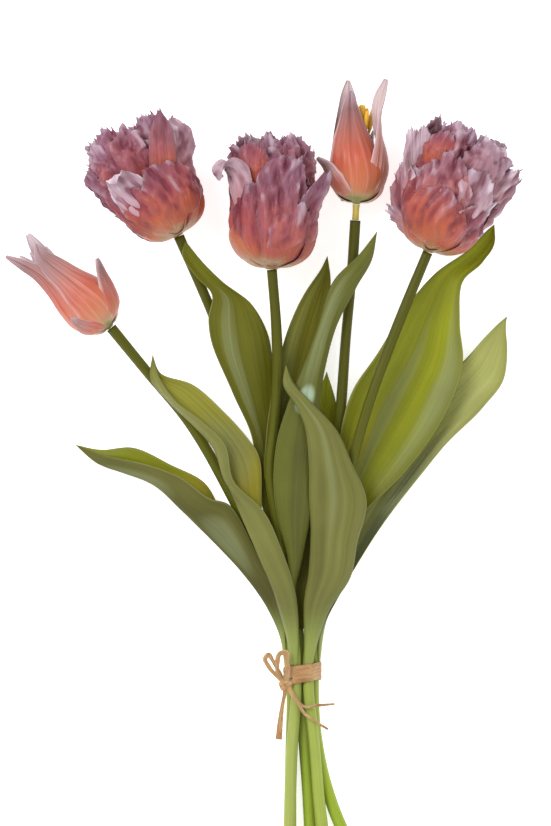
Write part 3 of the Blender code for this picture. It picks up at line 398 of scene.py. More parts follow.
# Petals that the blooms' round layers leave to be drawn one by one. Each has the radius that it is bent to
# across, its tone (0 coral, 1 mauve), how pale it is, and how strongly it is rumpled and fringed. Then come
# its stations from root to margin, in the flower's own frame: place to the right, up and along the axis,
# half width, and the side that it faces (degrees from up towards the right).
DRAWN_PETALS = {
    "bloom_2": {
        "belly": (26, 0.25, 0.2, 1.0, 0.6, [
            (2, 3, 0.5, 6, 10), (6, 19, 6, 14, 10), (8, 30, 18, 19, 8), (8, 33, 32, 19, 6),
            (7, 34, 42, 14, 5)]),
        "flank": (20, 0.30, 0.15, 0.8, 0.6, [
            (2, 2, 0.5, 6, 50), (13, 12, 5, 12, 50), (21, 17, 14, 15, 50), (22, 18, 24, 13, 48),
            (21, 19, 31, 9, 45)]),
        "fold": (22, 0.15, 0.1, 0.9, 0.7, [
            (0, 3, 0.5, 6, -22), (-6, 17, 6, 10, -24), (-11, 26, 18, 13, -26), (-14, 29, 30, 14, -28),
            (-15, 29, 38, 12, -28)]),
        "skirt": (24, 0.45, 0.1, 1.1, 1.6, [
            (-4, 0, 1, 7, -85), (-14, 3, 9, 11, -85), (-20.5, 4, 20, 14, -82), (-24.5, 4, 32, 14, -80),
            (-27, 5, 43, 12, -78)]),
        "frill": (24, 0.65, 0.1, 1.3, 1.5, [
            (-2, 0, 1, 6, -60), (-12, 8, 8, 12, -64), (-19, 11, 19, 15, -64), (-23.5, 12, 31, 15, -60),
            (-26.5, 12, 42, 13, -54)]),
        "lip": (24, 0.6, 1.0, 0.7, 0.5, [
            (0, 3, 1, 5, -20), (-6, 20, 10, 9, -18), (-10, 28, 24, 13, -16), (-13, 31, 38, 13, -14),
            (-15, 34, 45, 12, -12), (-16, 38, 48, 11, -10), (-17, 40, 45, 10, -10)]),
        "wing_left": (24, 0.8, 0.1, 1.2, 1.4, [
            (-4, 2, 2, 7, -50), (-16, 10, 16, 12, -48), (-22, 16, 32, 14, -45), (-25, 17, 48, 15, -42),
            (-27, 14, 60, 14, -40)]),
        "dome": (22, 0.85, 0.25, 1.8, 1.2, [
            (-2, 14, 26, 8, -5), (-6, 27, 40, 15, -5), (-8, 31, 54, 19, -6), (-7, 25, 66, 20, -6),
            (-6, 13, 75, 17, -8)]),
        "crest": (18, 0.9, 0.3, 1.6, 1.3, [
            (-12, 18, 34, 8, -30), (-17, 25, 47, 13, -30), (-20, 23, 58, 15, -32),
            (-19, 17, 68, 13, -34)]),
        "back_fan": (30, 0.95, 0.2, 0.8, 1.2, [
            (6, 8, 30, 8, 0), (13, 12, 48, 12, 4), (17, 12, 61, 13, 6), (18, 8, 71, 11, 8)]),
        "flare": (26, 0.4, 0.75, 0.9, 0.7, [
            (6, 4, 4, 8, 35), (16, 14, 22, 12, 35), (23, 19, 38, 14, 34), (29, 18, 50, 15, 32),
            (32, 15, 61, 13, 30)]),
        "point": (12, 0.5, 0.4, 0.4, 0.1, [
            (8, 20, 24, 7, 15), (15, 28, 40, 10, 15), (22, 29, 55, 8.5, 18), (28, 24, 70, 2.5, 20)]),
    },
    "bloom_3": {
        "side_left": (22, 0.4, 0.1, 0.9, 0.8, [
            (-4, 0, 1, 7, -85), (-15, 3, 8, 12, -85), (-21.5, 4, 20, 14, -84), (-23, 4, 34, 13, -80),
            (-22, 5, 46, 11, -75)]),
        "side_right": (22, 0.6, 0.3, 1.0, 1.0, [
            (4, 0, 1, 7, 85), (15, 3, 8, 12, 85), (21.5, 4, 20, 14, 84), (24, 4, 36, 13, 80),
            (24, 6, 52, 11, 76), (21, 8, 64, 8, 72)]),
        "ball_right": (22, 0.15, 0.3, 0.8, 0.8, [
            (0, 3, 0.5, 6, 30), (8, 17, 5, 14, 32), (15, 26, 16, 19, 34), (18, 27, 28, 19, 34),
            (20, 26, 36, 16, 32)]),
        "ball_left": (20, 0.45, 0.1, 0.8, 0.5, [
            (0, 3, 0.5, 6, -32), (-7, 16, 5, 12, -34), (-13, 25, 18, 15.5, -34), (-14, 27, 34, 16, -32),
            (-12, 27, 49, 13, -28)]),
        "middle": (28, 0.7, 0.3, 1.3, 0.7, [
            (0, 4, 1, 5, 6), (1, 22, 6, 8, 6), (2, 29, 20, 10, 8), (5, 33, 40, 15, 10),
            (9, 32, 56, 20, 12), (13, 28, 65, 18, 14)]),
        "curl_right": (16, 0.85, 0.4, 0.8, 0.4, [
            (2, 0, 1, 6, 60), (14, 14, 6, 12, 60), (22, 18, 20, 14, 58), (27, 19, 36, 13, 55),
            (31, 18, 48, 11, 52), (33, 17, 57, 5, 50)]),
        "curl_left": (14, 0.5, 1.0, 0.6, 0.6, [
            (-8, 14, 20, 7, -45), (-17, 19, 34, 11, -45), (-21, 21, 46, 12, -46), (-23, 22, 55, 12, -48),
            (-27, 23, 60, 11, -50), (-31, 22, 58, 10, -50), (-32, 20, 53, 8, -50)]),
        "spoon": (16, 0.2, 0.1, 0.6, 1.6, [
            (-4, 8, 28, 8, -15), (-11, 20, 44, 13, -16), (-13, 23, 60, 14, -16), (-12, 19, 74, 12, -14)]),
        "dome": (18, 0.9, 0.35, 1.6, 1.1, [
            (4, 8, 30, 8, 20), (11, 20, 50, 15, 18), (13, 21, 63, 17, 16), (12, 13, 74, 15, 12),
            (10, 4, 79, 12, 10)]),
    },
    "bloom_5": {
        "ball": (28, 0.0, 0.1, 0.7, 0.5, [
            (0, 4, 0.5, 7, -4), (-2, 20, 6, 16, -4), (-3, 31, 18, 22, -4), (-2, 33, 29, 22, -3),
            (0, 33, 37, 17, 0)]),
        "ball_right": (20, 0.4, 0.3, 1.2, 0.9, [
            (2, 3, 0.5, 6, 38), (11, 16, 5, 12, 38), (18, 24, 16, 15, 38), (20, 24, 26, 14, 36),
            (21, 23, 34, 11, 34)]),
        "front": (24, 0.3, 0.45, 1.2, 0.7, [
            (0, 6, 2, 6, -6), (-2, 24, 14, 13, -8), (-4, 31, 30, 18, -8), (-5, 33, 46, 18, -8),
            (-4, 30, 58, 14, -6)]),
        "cheek": (20, 0.65, 0.85, 0.9, 0.8, [
            (3, 6, 6, 7, 16), (10, 23, 20, 13, 18), (14, 29, 36, 17, 20), (15, 30, 47, 16, 20),
            (16, 28, 54, 13, 20)]),
        "cap_left": (16, 0.1, 0.1, 0.7, 0.9, [
            (-6, 10, 30, 8, -20), (-12, 21, 46, 12, -22), (-14, 23, 60, 13, -22), (-12, 19, 70, 11, -20)]),
        "cap": (18, 0.9, 0.4, 1.4, 1.8, [
            (-3, 10, 34, 8, 0), (-5, 23, 54, 14, 0), (-6, 21, 67, 16, 0), (-6, 13, 77, 14, 0)]),
        "cap_right": (18, 0.85, 0.7, 1.1, 1.3, [
            (6, 10, 28, 8, 22), (12, 23, 44, 14, 22), (16, 25, 57, 16, 20), (17, 19, 67, 15, 18),
            (16, 10, 74, 12, 16)]),
        "fan_left": (40, 0.3, 1.0, 0.4, 1.3, [
            (-4, -4, 4, 8, -150), (-16, 2, 24, 9, -160), (-21, 8, 43, 8, -170), (-25, 11, 57, 12, -180),
            (-28, 12, 67, 14, -180)]),
        "wing_left": (26, 0.15, 0.75, 1.2, 1.0, [
            (-2, 0, 2, 6, -40), (-16, 8, 10, 12, -40), (-23, 10, 22, 13, -38), (-27, 10, 34, 12, -35),
            (-30, 8, 44, 9, -32)]),
        "frill_left": (24, 0.2, 0.75, 0.8, 1.6, [
            (-2, -2, 1, 6, -50), (-16, 2, 6, 9, -48), (-23, 4, 12, 9, -45), (-29, 5, 18, 8, -40)]),
        "wing_right": (30, 0.3, 0.8, 1.1, 1.5, [
            (6, 0, 6, 7, 40), (19, 6, 24, 12, 40), (26, 8, 40, 13, 36), (31, 8, 54, 13, 30),
            (35, 8, 62, 10, 26)]),
        "skirt_right": (24, 0.3, 0.8, 1.2, 1.4, [
            (4, -2, 4, 6, 55), (17, 6, 14, 11, 52), (23, 9, 24, 13, 48), (26, 10, 33, 12, 42),
            (29, 9, 40, 9, 36)]),
    },
}

# The blooms: the stem, the flower's axis, radius and height, how wide its seat is, and the seed of its folds.
# Each petal of the round layers has the side that it faces (degrees, 0 is right and 90 is up), its profile,
# its scales in radius and height, its half width, its tone and how pale it is.
BLOOMS = {
    "bloom_2": dict(
        stem="stem_2", axis=(-0.50, 0.86, 0.0), radius=34, height=72, seat=0.90, seed=3,
        layers=[(15, "cup", 0.74, 0.50, 17, 0.3, 0.1), (170, "open", 0.70, 0.96, 18, 0.7, 0.1),
                (238, "open", 0.74, 0.92, 18, 0.4, 0.2), (308, "tall", 0.90, 0.90, 19, 0.3, 0.2),
                (25, "tall", 0.94, 0.84, 17, 0.7, 0.2), (200, "mid", 0.86, 1.00, 18, 0.8, 0.2),
                (265, "mid", 1.06, 1.02, 20, 0.6, 0.3), (340, "mid", 1.02, 0.98, 19, 0.7, 0.3),
                (90, "inner", 1.0, 1.00, 16, 0.9, 0.3), (200, "inner", 1.0, 1.04, 15, 0.9, 0.4),
                (320, "inner", 1.0, 1.02, 15, 0.8, 0.4), (62, "mid", 0.98, 0.80, 18, 0.6, 0.2),
                (118, "mid", 0.98, 0.84, 18, 0.6, 0.2), (150, "cup", 0.68, 0.70, 16, 0.4, 0.1)],
    ),
    "bloom_3": dict(
        stem="stem_3", axis=(0.0, 1.0, 0.0), radius=29.5, height=80, seat=1.22, seed=8,
        layers=[(5, "cup", 0.96, 0.62, 18, 0.3, 0.2), (176, "cup", 0.88, 0.74, 17, 0.4, 0.2),
                (238, "cup", 0.88, 1.00, 18, 0.4, 0.2), (308, "cup", 0.92, 1.00, 18, 0.3, 0.2),
                (30, "tall", 0.94, 0.92, 17, 0.8, 0.3), (150, "tall", 0.92, 0.96, 17, 0.7, 0.3),
                (215, "mid", 1.02, 1.00, 17, 0.7, 0.2), (270, "mid", 1.04, 1.00, 18, 0.6, 0.3),
                (330, "mid", 1.00, 0.98, 17, 0.8, 0.3), (90, "inner", 1.0, 1.02, 14, 0.9, 0.4),
                (210, "inner", 1.0, 1.04, 14, 0.8, 0.4), (330, "inner", 1.0, 1.02, 14, 0.9, 0.4),
                (60, "mid", 0.98, 0.78, 16, 0.6, 0.2), (120, "mid", 0.98, 0.80, 16, 0.5, 0.2)],
    ),
    "bloom_5": dict(
        stem="stem_5", axis=(0.32, 0.95, 0.0), radius=34, height=76, seat=0.90, seed=12,
        layers=[(8, "cup", 0.80, 0.66, 18, 0.3, 0.2), (172, "cup", 0.66, 0.62, 17, 0.1, 0.2),
                (238, "tall", 0.84, 0.94, 19, 0.3, 0.2), (308, "tall", 0.92, 1.00, 19, 0.2, 0.2),
                (25, "tall", 0.92, 0.92, 19, 0.8, 0.4), (150, "tall", 0.78, 0.62, 16, 0.5, 0.3),
                (210, "mid", 1.02, 1.02, 20, 0.7, 0.2), (265, "mid", 1.06, 1.00, 20, 0.6, 0.3),
                (330, "mid", 1.02, 1.00, 19, 0.8, 0.3), (90, "inner", 1.0, 1.04, 16, 0.9, 0.4),
                (210, "inner", 1.0, 1.04, 16, 0.8, 0.4), (330, "inner", 1.0, 1.04, 16, 0.9, 0.5),
                (60, "mid", 0.98, 0.80, 18, 0.5, 0.3), (120, "mid", 0.98, 0.84, 18, 0.4, 0.2)],
    ),
}

# Lily-shaped buds: smooth pointed petals round a waist, on a stem or a bare neck. The petals at the back have
# the side that they face, their profile, its scales and their half width. The drawn ones in front have the
# radius that they are bent to across, how pale they are, and stations as the blooms' petals have.
BUDS = {
    "bud_1": dict(
        stem="stem_1", axis=(-0.72, 0.69, 0.0), radius=17.5, height=70, lift=0.0, seat=1.12, seed=5,
        pale=0.30,
        petals=[(265, "bud", 0.86, 0.94, 18), (215, "bud", 0.82, 0.98, 15), (325, "bud", 0.84, 0.88, 15)],
        drawn={
            "back_tip": (16, 0.30, [
                (2, -2, 1, 6, 180), (4, -7, 16, 14, 180), (3, -4, 36, 11, 180), (2, 1, 54, 6, 180),
                (4, 3, 65, 4.5, 176), (6, 3, 74, 1.5, 172)]),
            "left": (13, 0.30, [
                (-2, 1, 0.5, 7, -45), (-9, 9, 5, 12, -45), (-12, 11, 14, 13, -42), (-11, 11, 26, 11, -38),
                (-8, 9, 40, 7.5, -30), (-7.5, 8, 52, 5, -20), (-10, 7, 64, 3.5, -15),
                (-13, 7, 74, 1, -10)]),
            "middle": (16, 0.30, [
                (2, 2, 0.5, 8, 14), (4, 13, 5, 15, 14), (6, 17.5, 15, 18, 14), (5.5, 16.5, 27, 15.5, 12),
                (4, 13, 40, 10.5, 12), (2.5, 10.5, 52, 7.5, 10), (2.5, 9.5, 60, 4.5, 8),
                (5, 9, 66, 1, 5)]),
            "base": (13, 0.30, [
                (-2, 1, 0.3, 6, -55), (-9, 8, 4, 11, -52), (-12, 10.5, 9, 10, -50),
                (-12.5, 11, 15, 6, -48), (-12.5, 11, 20, 1, -45)]),
            "spike": (14, 0.30, [
                (2, 2, 0.5, 6, 60), (12, 8, 5, 11, 60), (17.5, 10, 15, 10, 58), (20.5, 11, 24, 6, 55),
                (24.5, 11, 33.5, 1, 52)]),
        },
    ),
    "bud_4": dict(
        stem="stem_4", axis=(0.06, 1.0, 0.0), radius=18.5, height=73, lift=9.6, seat=1.25, seed=6,
        pale=0.1,
        petals=[(228, "bud", 0.84, 0.72, 16), (285, "bud", 0.86, 0.62, 17), (330, "bud", 0.86, 0.60, 15)],
        drawn={
            "back_tip": (16, 1.0, [
                (-3, -4, 1, 7, 180), (-7, -8, 20, 11, 180), (-8, -4, 40, 9.5, 180),
                (-8.5, 1, 57, 6.5, 180), (-9.2, 3, 66, 4.2, 180), (-9.4, 3, 73, 1.2, 180)]),
            "right": (13, 0.9, [
                (3, 0, 1, 7, 55), (12, 6, 7, 13, 58), (16.5, 8, 20, 14, 64), (15.5, 8, 32, 12, 78),
                (12, 7, 44, 8, 100), (10, 5, 54, 5.5, 125), (11, 4, 64, 4.5, 145),
                (13.8, 4, 75, 1.5, 150)]),
            "left": (14, 0.5, [
                (-2, 2, 1, 6, -62), (-12, 8, 6, 11, -62), (-17.5, 9, 14, 10, -60), (-20, 9, 19.5, 7, -58),
                (-25.5, 9, 25, 1, -55)]),
            "front": (18, 0.1, [
                (0, 2, 0.5, 8, -6), (-1, 12, 5, 16, -6), (-1.5, 17, 15, 21.5, -6),
                (-3.5, 17.5, 26, 20, -8), (-5.5, 13, 38, 14, -8), (-6.5, 9.5, 49, 8.5, -6),
                (-7.4, 8, 59, 4.5, -4), (-7.8, 7.5, 66.5, 1.2, 0)]),
        },
    ),
}

# The tie: three wraps side by side round the five stems, flat where it rests. Centres are those of the stems
# there, across and up.
BAND_CENTRES = [(-7.1, 4.6), (0.0, 4.6), (7.1, 4.6), (3.8, 10.8), (-3.8, 10.8)]
BAND_CLEARANCE = 0.45
BAND_THICKNESS = 0.95
BAND_WIDTH = 10.5
BAND_SLANT = 0.16
BAND_POINTS = 180
BAND_RIBS = 13
WRAPS = 3
WRAP_OVERLAP = 1.06

# The bow's strands, over the front of the tie: centre line and half width at each place
BOW_STRANDS = {
    "loop_tall": [(-9.8, -6.0, 15.2, 1.6), (-13.8, -2.0, 17.5, 1.2), (-15.2, 5.5, 19.0, 1.4),
                  (-13.2, 12.6, 19.5, 1.5), (-10.4, 13.4, 19.3, 1.5), (-9.2, 6.0, 18.6, 1.4),
                  (-9.2, -1.0, 17.4, 1.2), (-9.6, -6.0, 15.8, 1.6)],
    "loop_side": [(-10.4, -5.6, 15.0, 1.5), (-15.0, -1.6, 14.6, 1.2), (-20.0, 4.0, 14.5, 1.3),
                  (-22.4, 9.6, 14.6, 1.4), (-20.8, 11.6, 14.6, 1.4), (-17.6, 7.6, 14.2, 1.2),
                  (-14.0, 1.0, 14.0, 1.2), (-10.4, -6.6, 14.8, 1.5)],
    "tail_left": [(-10.2, -6.4, 15.2, 1.6), (-10.6, -11.0, 15.4, 1.2), (-12.2, -20.0, 14.2, 1.2),
                  (-13.4, -30.0, 12.6, 1.7), (-14.2, -39.6, 11.0, 2.0)],
    "tail_right": [(-9.8, -6.6, 15.4, 1.6), (-7.0, -10.0, 17.2, 1.1), (-3.6, -15.0, 17.6, 0.9),
                   (0.6, -19.4, 17.4, 0.8), (9.0, -18.8, 17.6, 0.8), (19.4, -18.0, 16.4, 0.7)],
    "tail_low": [(-9.6, -7.2, 15.4, 1.6), (-6.4, -12.0, 18.6, 1.1), (-3.0, -17.0, 18.9, 0.9),
                 (1.6, -24.0, 18.0, 0.9), (7.6, -28.4, 17.6, 0.8), (15.4, -33.2, 15.6, 0.7)],
}
BOW_KNOT = dict(place=(-10.2, -6.6, 15.4), size=(4.0, 3.6, 1.9))
STRAND_THICKNESS = 0.8
# All of the bow sits this far from its drawn height, on the band
BOW_LIFT = -0.3


def through(points, count):
    """Rows spread evenly along the smooth curve that passes through the given rows.

    The first three columns are a place, and the others vary along with it.
    """
    points = np.asarray(points, float)
    steps = np.linalg.norm(np.diff(points[:, :3], axis=0), axis=1)
    knots = np.concatenate([[0], np.cumsum(steps)])
    slopes = np.gradient(points, knots, axis=0)
    where = np.linspace(0, knots[-1], count)
    i = np.clip(np.searchsorted(knots, where, side="right") - 1, 0, len(steps) - 1)
    span = steps[i][:, None]
    f = (where - knots[i])[:, None] / span
    ahead = f * f * (3 - 2 * f)
    return (
        (1 - ahead) * points[i]
        + ahead * points[i + 1]
        + f * (1 - f) ** 2 * span * slopes[i]
        - f * f * (1 - f) * span * slopes[i + 1]
    )


def unit(vectors):
    return vectors / np.linalg.norm(vectors, axis=-1, keepdims=True)


def distances(line):
    """How far along a line of places each of them is."""
    return np.concatenate([[0], np.cumsum(np.linalg.norm(np.diff(line, axis=0), axis=1))])


def grid_normals(grid):
    return unit(np.cross(np.gradient(grid, axis=1), np.gradient(grid, axis=0)))


def carried_frames(line):
    """Tangent and two side directions along a line of points, turning as little as possible."""
    tangents = unit(np.gradient(line, axis=0))
    side = np.cross(tangents[0], (0, 0, 1.0))
    sides = []
    for tangent in tangents:
        side = side - tangent * (side @ tangent)
        side = side / np.linalg.norm(side)
        sides.append(side)
    sides = np.array(sides)
    return tangents, sides, np.cross(sides, tangents)


def ring_faces(count, sides, closed=False):
    """Faces between rings in order, and from the last ring to the first where they close up."""
    faces = []
    for r in range(count if closed else count - 1):
        q = (r + 1) % count
        for c in range(sides):
            d = (c + 1) % sides
            faces.append((r * sides + c, r * sides + d, q * sides + d, q * sides + c))
    return faces


def rings_mesh(rings):
    """Points and faces that join closed rings in order, with both ends capped."""
    count, sides = rings.shape[:2]
    last = (count - 1) * sides
    caps = [tuple(range(sides))[::-1], tuple(range(last, last + sides))]
    return rings.reshape(-1, 3), ring_faces(count, sides) + caps


def turned_mesh(radii, heights, sides):
    """Points and faces of a solid that is round about the flower's axis."""
    turn = np.arange(sides) * 2 * math.pi / sides
    across, up = np.cos(turn), np.sin(turn)
    rings = [np.stack([r * across, r * up, z + 0 * turn], axis=-1) for r, z in zip(radii, heights)]
    return rings_mesh(np.array(rings))


def egg_mesh(radius, bottom, top, size):
    """A blunt egg on the flower's axis, which the petals' roots are sunk into."""
    rings, sides = size
    share = np.linspace(0, 1, rings)
    radii = radius * np.sin(math.pi * (0.12 + 0.80 * share)) ** 0.8
    return turned_mesh(radii, bottom + (top - bottom) * share, sides)


def tube(line, radii, sides):
    """A closed tube, the share round it and the share along it at each point."""
    _, right, up = carried_frames(line)
    turn = np.arange(sides) * 2 * math.pi / sides
    radii = np.broadcast_to(np.asarray(radii, float).reshape(len(line), -1), (len(line), sides))
    spokes = np.cos(turn)[None, :, None] * right[:, None, :] - np.sin(turn)[None, :, None] * up[:, None, :]
    points, faces = rings_mesh(line[:, None, :] + spokes * radii[..., None])
    round_share = np.tile(np.arange(sides) / sides, len(line))
    along = np.repeat(np.linspace(0, 1, len(line)), sides)
    return points, faces, round_share, along


def blade_mesh(grid, thickness):
    """A closed blade from a grid of points on its middle surface, its upper points first."""
    rows, columns = grid.shape[:2]
    half = grid_normals(grid) * (np.broadcast_to(thickness, (rows, columns)) / 2)[..., None]
    points = np.concatenate([(grid + half).reshape(-1, 3), (grid - half).reshape(-1, 3)])
    below = rows * columns
    index = np.arange(below).reshape(rows, columns)
    upper = np.stack([index[:-1, :-1], index[:-1, 1:], index[1:, 1:], index[1:, :-1]], axis=-1).reshape(-1, 4)
    rim = np.concatenate([index[0, :-1], index[:-1, -1], index[-1, :0:-1], index[:0:-1, 0]])
    ahead = np.roll(rim, -1)
    edge = np.stack([ahead, rim, rim + below, ahead + below], axis=-1)
    return points, np.concatenate([upper, upper[:, ::-1] + below, edge]).tolist()


def add_piece(name, node, slot, finish, points, faces, **attributes):
    """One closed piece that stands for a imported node, carrying values for its finish at each point."""
    mesh = bpy.data.meshes.new(name)
    mesh.from_pydata((np.asarray(points) * MM).tolist(), [], faces)
    mesh.shade_smooth()
    for key, values in attributes.items():
        layer = mesh.attributes.new(key, "FLOAT", "POINT")
        layer.data.foreach_set("value", np.broadcast_to(values, len(points)).astype(np.float32))
    mesh.materials.append(finish)
    made = bpy.data.objects.new(name, mesh)
    bpy.context.scene.collection.objects.link(made)
    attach(made, "root")
    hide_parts(node)
    return made


def add_blade(name, node, slot, finish, grid, thickness, **shares):
    """A blade piece. Its upper face has side 1 and its lower face side 0."""
    points, faces = blade_mesh(grid, thickness)
    count = grid.shape[0] * grid.shape[1]
    both = {key: np.tile(np.broadcast_to(value, grid.shape[:2]).ravel(), 2) for key, value in shares.items()}
    side = np.repeat([1.0, 0.0], count)
    return add_piece(name, node, slot, finish, points, faces, side=side, **both)


def edged(thickness, along, across):
    """A blade's thickness, fined down towards its margins."""
    rim = np.clip((1 - np.abs(across)) / 0.12, 0, 1) * np.clip(np.minimum(1 - along, along) / 0.04, 0, 1)
    return thickness * (0.4 + 0.6 * rim)


def waves(across, along, draw, count=5, lean=0.5):
    """Smooth folds, about -1 to 1, that run mostly lengthwise. Both places are in wavelengths."""
    total = 0
    for _ in range(count):
        pitch, slope, phase = draw.uniform(0.6, 1.5), draw.uniform(-lean, lean), draw.uniform(0, 1)
        total = total + np.sin(2 * math.pi * (across * pitch + along * slope + phase))
    return total * 1.5 / count


def creases(across, along, draw, lean, count=3):
    """Folds with sharp crests between rounded hollows, about -1 to 1, leaning by up to the given angle."""
    total = 0
    for _ in range(count):
        way, pitch, phase = draw.uniform(-lean, lean), draw.uniform(0.7, 1.4), draw.uniform(0, 6)
        ahead = along * math.cos(way) - across * math.sin(way)
        aside = across * math.cos(way) + along * math.sin(way)
        bent = 0.6 * np.sin(2 * math.pi * ahead * 0.4 + phase)
        total = total + 1 - 2 * np.abs(np.sin(math.pi * pitch * aside + bent))
    return total * 1.3 / count


def fingers(count, draw):
    """Lengths of the fringe along a margin, 0 to 1: pointed fingers of uneven length with gaps between."""
    lengths = np.zeros(count)
    i = int(draw.integers(0, 3))
    while i < count:
        width = int(draw.integers(1, 4))
        reach = draw.uniform(0.2, 1.0) ** 1.5
        for k in range(min(width, count - i)):
            lengths[i + k] = reach * (1.0 if k == width // 2 else 0.55)
        i += width + int(draw.integers(1, 3))
    return lengths


class Finish:
    """A material put together node by node, from the attributes that its pieces carry."""

    def __init__(self, name, roughness, specular=0.5):
        self.material = bpy.data.materials.new(name)
        self.material.use_nodes = True
        self.tree = self.material.node_tree
        self.shader = self.tree.nodes["Principled BSDF"]
        self.shader.inputs["Roughness"].default_value = roughness
        self.shader.inputs["Specular IOR Level"].default_value = specular

    def add(self, kind, *values, **settings):
        """A node with its settings, its first inputs fed with the values, which are sockets or constants."""
        made = self.tree.nodes.new("ShaderNode" + kind)
        for key, value in settings.items():
            setattr(made, key, value)
        for socket, value in zip(made.inputs, values):
            self.feed(socket, value)
        return made

    def feed(self, socket, value):
        if isinstance(value, bpy.types.NodeSocket):
            self.tree.links.new(value, socket)
        elif value is not None:
            socket.default_value = value

    def attributes(self, *names):
        return [self.add("Attribute", attribute_name=name).outputs["Fac"] for name in names]

    def math(self, operation, *values):
        return self.add("Math", *values, operation=operation).outputs[0]

    def times(self, first, second):
        return self.math("MULTIPLY", first, second)

    def weighed(self, start, *terms):
        """The start and each (socket, weight) pair added up."""
        total = start
        for socket, weight in terms:
            total = self.math("MULTIPLY_ADD", socket, weight, total)
        return total

    def span(self, value, low, high):
        """The value's share of the way from low to high, held between 0 and 1."""
        return self.add("MapRange", value, low, high, interpolation_type="SMOOTHSTEP").outputs[0]

    def place(self):
        return self.add("TexCoord").outputs["Object"]

    def forward(self):
        """How far along Y a point is, in metres."""
        return self.add("SeparateXYZ", self.place()).outputs[1]

    def noise(self, vector, scale=1.0, detail=2.0, rough=0.5):
        made = self.add("TexNoise")
        for key, value in (("Vector", vector), ("Scale", scale), ("Detail", detail), ("Roughness", rough)):
            self.feed(made.inputs[key], value)
        return made.outputs["Fac"]

    def streaks(self, across, across_count, along, along_count, turn=0.0, detail=2.0):
        """Noise drawn out lengthwise, as fibres and veins are."""
        wide = self.times(across, across_count)
        far = self.times(along, along_count)
        return self.noise(self.add("CombineXYZ", wide, far, turn).outputs[0], detail=detail, rough=0.6)

    def ramp(self, value, stops):
        made = self.add("ValToRGB", value)
        points = made.color_ramp.elements
        while len(points) < len(stops):
            points.new(0.5)
        for point, (position, colour) in zip(points, stops):
            point.position = position
            point.color = (*colour, 1)
        return made.outputs[0]

    def mix(self, share, first, second, blend="MIX"):
        made = self.add("Mix", data_type="RGBA", blend_type=blend)
        self.feed(made.inputs[0], share)
        for socket, value in ((made.inputs[6], first), (made.inputs[7], second)):
            self.feed(socket, (*value, 1) if isinstance(value, tuple) else value)
        return made.outputs[2]

    def toward(self, colour, other, share, strength):
        """The colour mixed with another, by a share between 0 and 1 times a strength."""
        return self.mix(self.times(share, strength), colour, other)

    def shade(self, colour, value, low, high):
        """The colour made darker or lighter with a value that runs from 0 to 1."""
        level = self.math("MULTIPLY_ADD", value, high - low, low)
        return self.mix(1.0, colour, self.add("CombineColor", level, level, level).outputs[0], "MULTIPLY")

    def bump(self, height, depth, strength=1.0):
        made = self.add("Bump")
        for key, value in (("Height", height), ("Distance", depth * MM), ("Strength", strength)):
            self.feed(made.inputs[key], value)
        self.feed(self.shader.inputs["Normal"], made.outputs[0])

    def paint(self, colour, roughness=None):
        self.feed(self.shader.inputs["Base Color"], colour)
        self.feed(self.shader.inputs["Roughness"], roughness)
        return self.material


def stem_finish():
    """Lime below and dark green above, with fine lengthwise lines."""
    skin = Finish("stem_skin", 0.42, 0.16)
    around, along, vivid = skin.attributes("around", "along", "vivid")
    patches = skin.noise(skin.place(), 45.0)
    rise = skin.math("MULTIPLY_ADD", skin.forward(), 2.6, 0.30)
    where = skin.weighed(-0.06, (rise, 1.0), (patches, 0.12))
    low = skin.times(vivid, skin.span(where, 0.40, 0.10))
    colour = skin.mix(low, skin.ramp(where, STEM_RAMP), VIVID_LIME)
    lines = skin.streaks(around, 26.0, along, 9.0)
    colour = skin.shade(colour, lines, 0.80, 1.22)
    colour = skin.shade(colour, patches, 0.88, 1.12)
    skin.bump(lines, 0.35, 0.6)
    return skin.paint(colour)


def leaf_finish(name, inner, under, base):
    """A leaf's two faces, with parallel veins, soft patches, a base like the stem (a painted shade on
    leaf_8), painted shade towards the edges and a thin light margin.
    """
    skin = Finish(name + "_skin", 0.40, 0.16)
    across, along, side = skin.attributes("across", "along", "side")
    clouds = skin.noise(skin.place(), 16.0, 3.0)
    turn = 3.0 * int(name[-1])
    bands = skin.streaks(across, 2.6, along, 1.1, turn=turn)
    veins = skin.streaks(across, 13.0, along, 0.9, turn=turn + 1.0)
    fine = skin.streaks(across, 44.0, along, 2.2, turn=turn + 2.0)
    colour = skin.mix(side, under, inner)
    for patch, strength, far, sideways, far_reach, side_reach in LEAF_PATCHES.get(name, []):
        ahead = skin.math("MULTIPLY_ADD", along, 1 / far_reach, -far / far_reach)
        beside = skin.math("MULTIPLY_ADD", across, 1 / side_reach, -sideways / side_reach)
        spread = skin.math("MULTIPLY_ADD", ahead, ahead, skin.times(beside, beside))
        near = skin.span(skin.weighed(-0.6, (spread, 1.0), (clouds, 1.2)), 1.3, 0.0)
        colour = skin.toward(colour, patch, near, strength)
    colour = skin.shade(colour, along, 0.76, 1.18)
    for value, depth in ((clouds, 0.38), (bands, 0.30), (veins, 0.20), (fine, 0.08)):
        colour = skin.shade(colour, value, 1 - depth, 1 + depth)
    # The foot takes the leaf's base colour, which for leaf_8 is a painted shade
    colour = skin.toward(colour, base, skin.span(skin.forward(), 0.046, 0.012), 0.95)
    beside = skin.math("ABSOLUTE", across)
    # Painted shade, darker towards the edges
    colour = skin.toward(colour, LEAF_EDGE_SHADE, skin.span(beside, 0.70, 1.0), 0.30)
    colour = skin.toward(colour, LEAF_RIM, skin.span(beside, 0.955, 1.0), 0.40)
    skin.bump(skin.weighed(0.0, (veins, 1.0), (fine, 0.4), (bands, 1.5)), 0.6, 0.6)
    return skin.paint(colour, skin.weighed(0.24, (clouds, 0.28)))


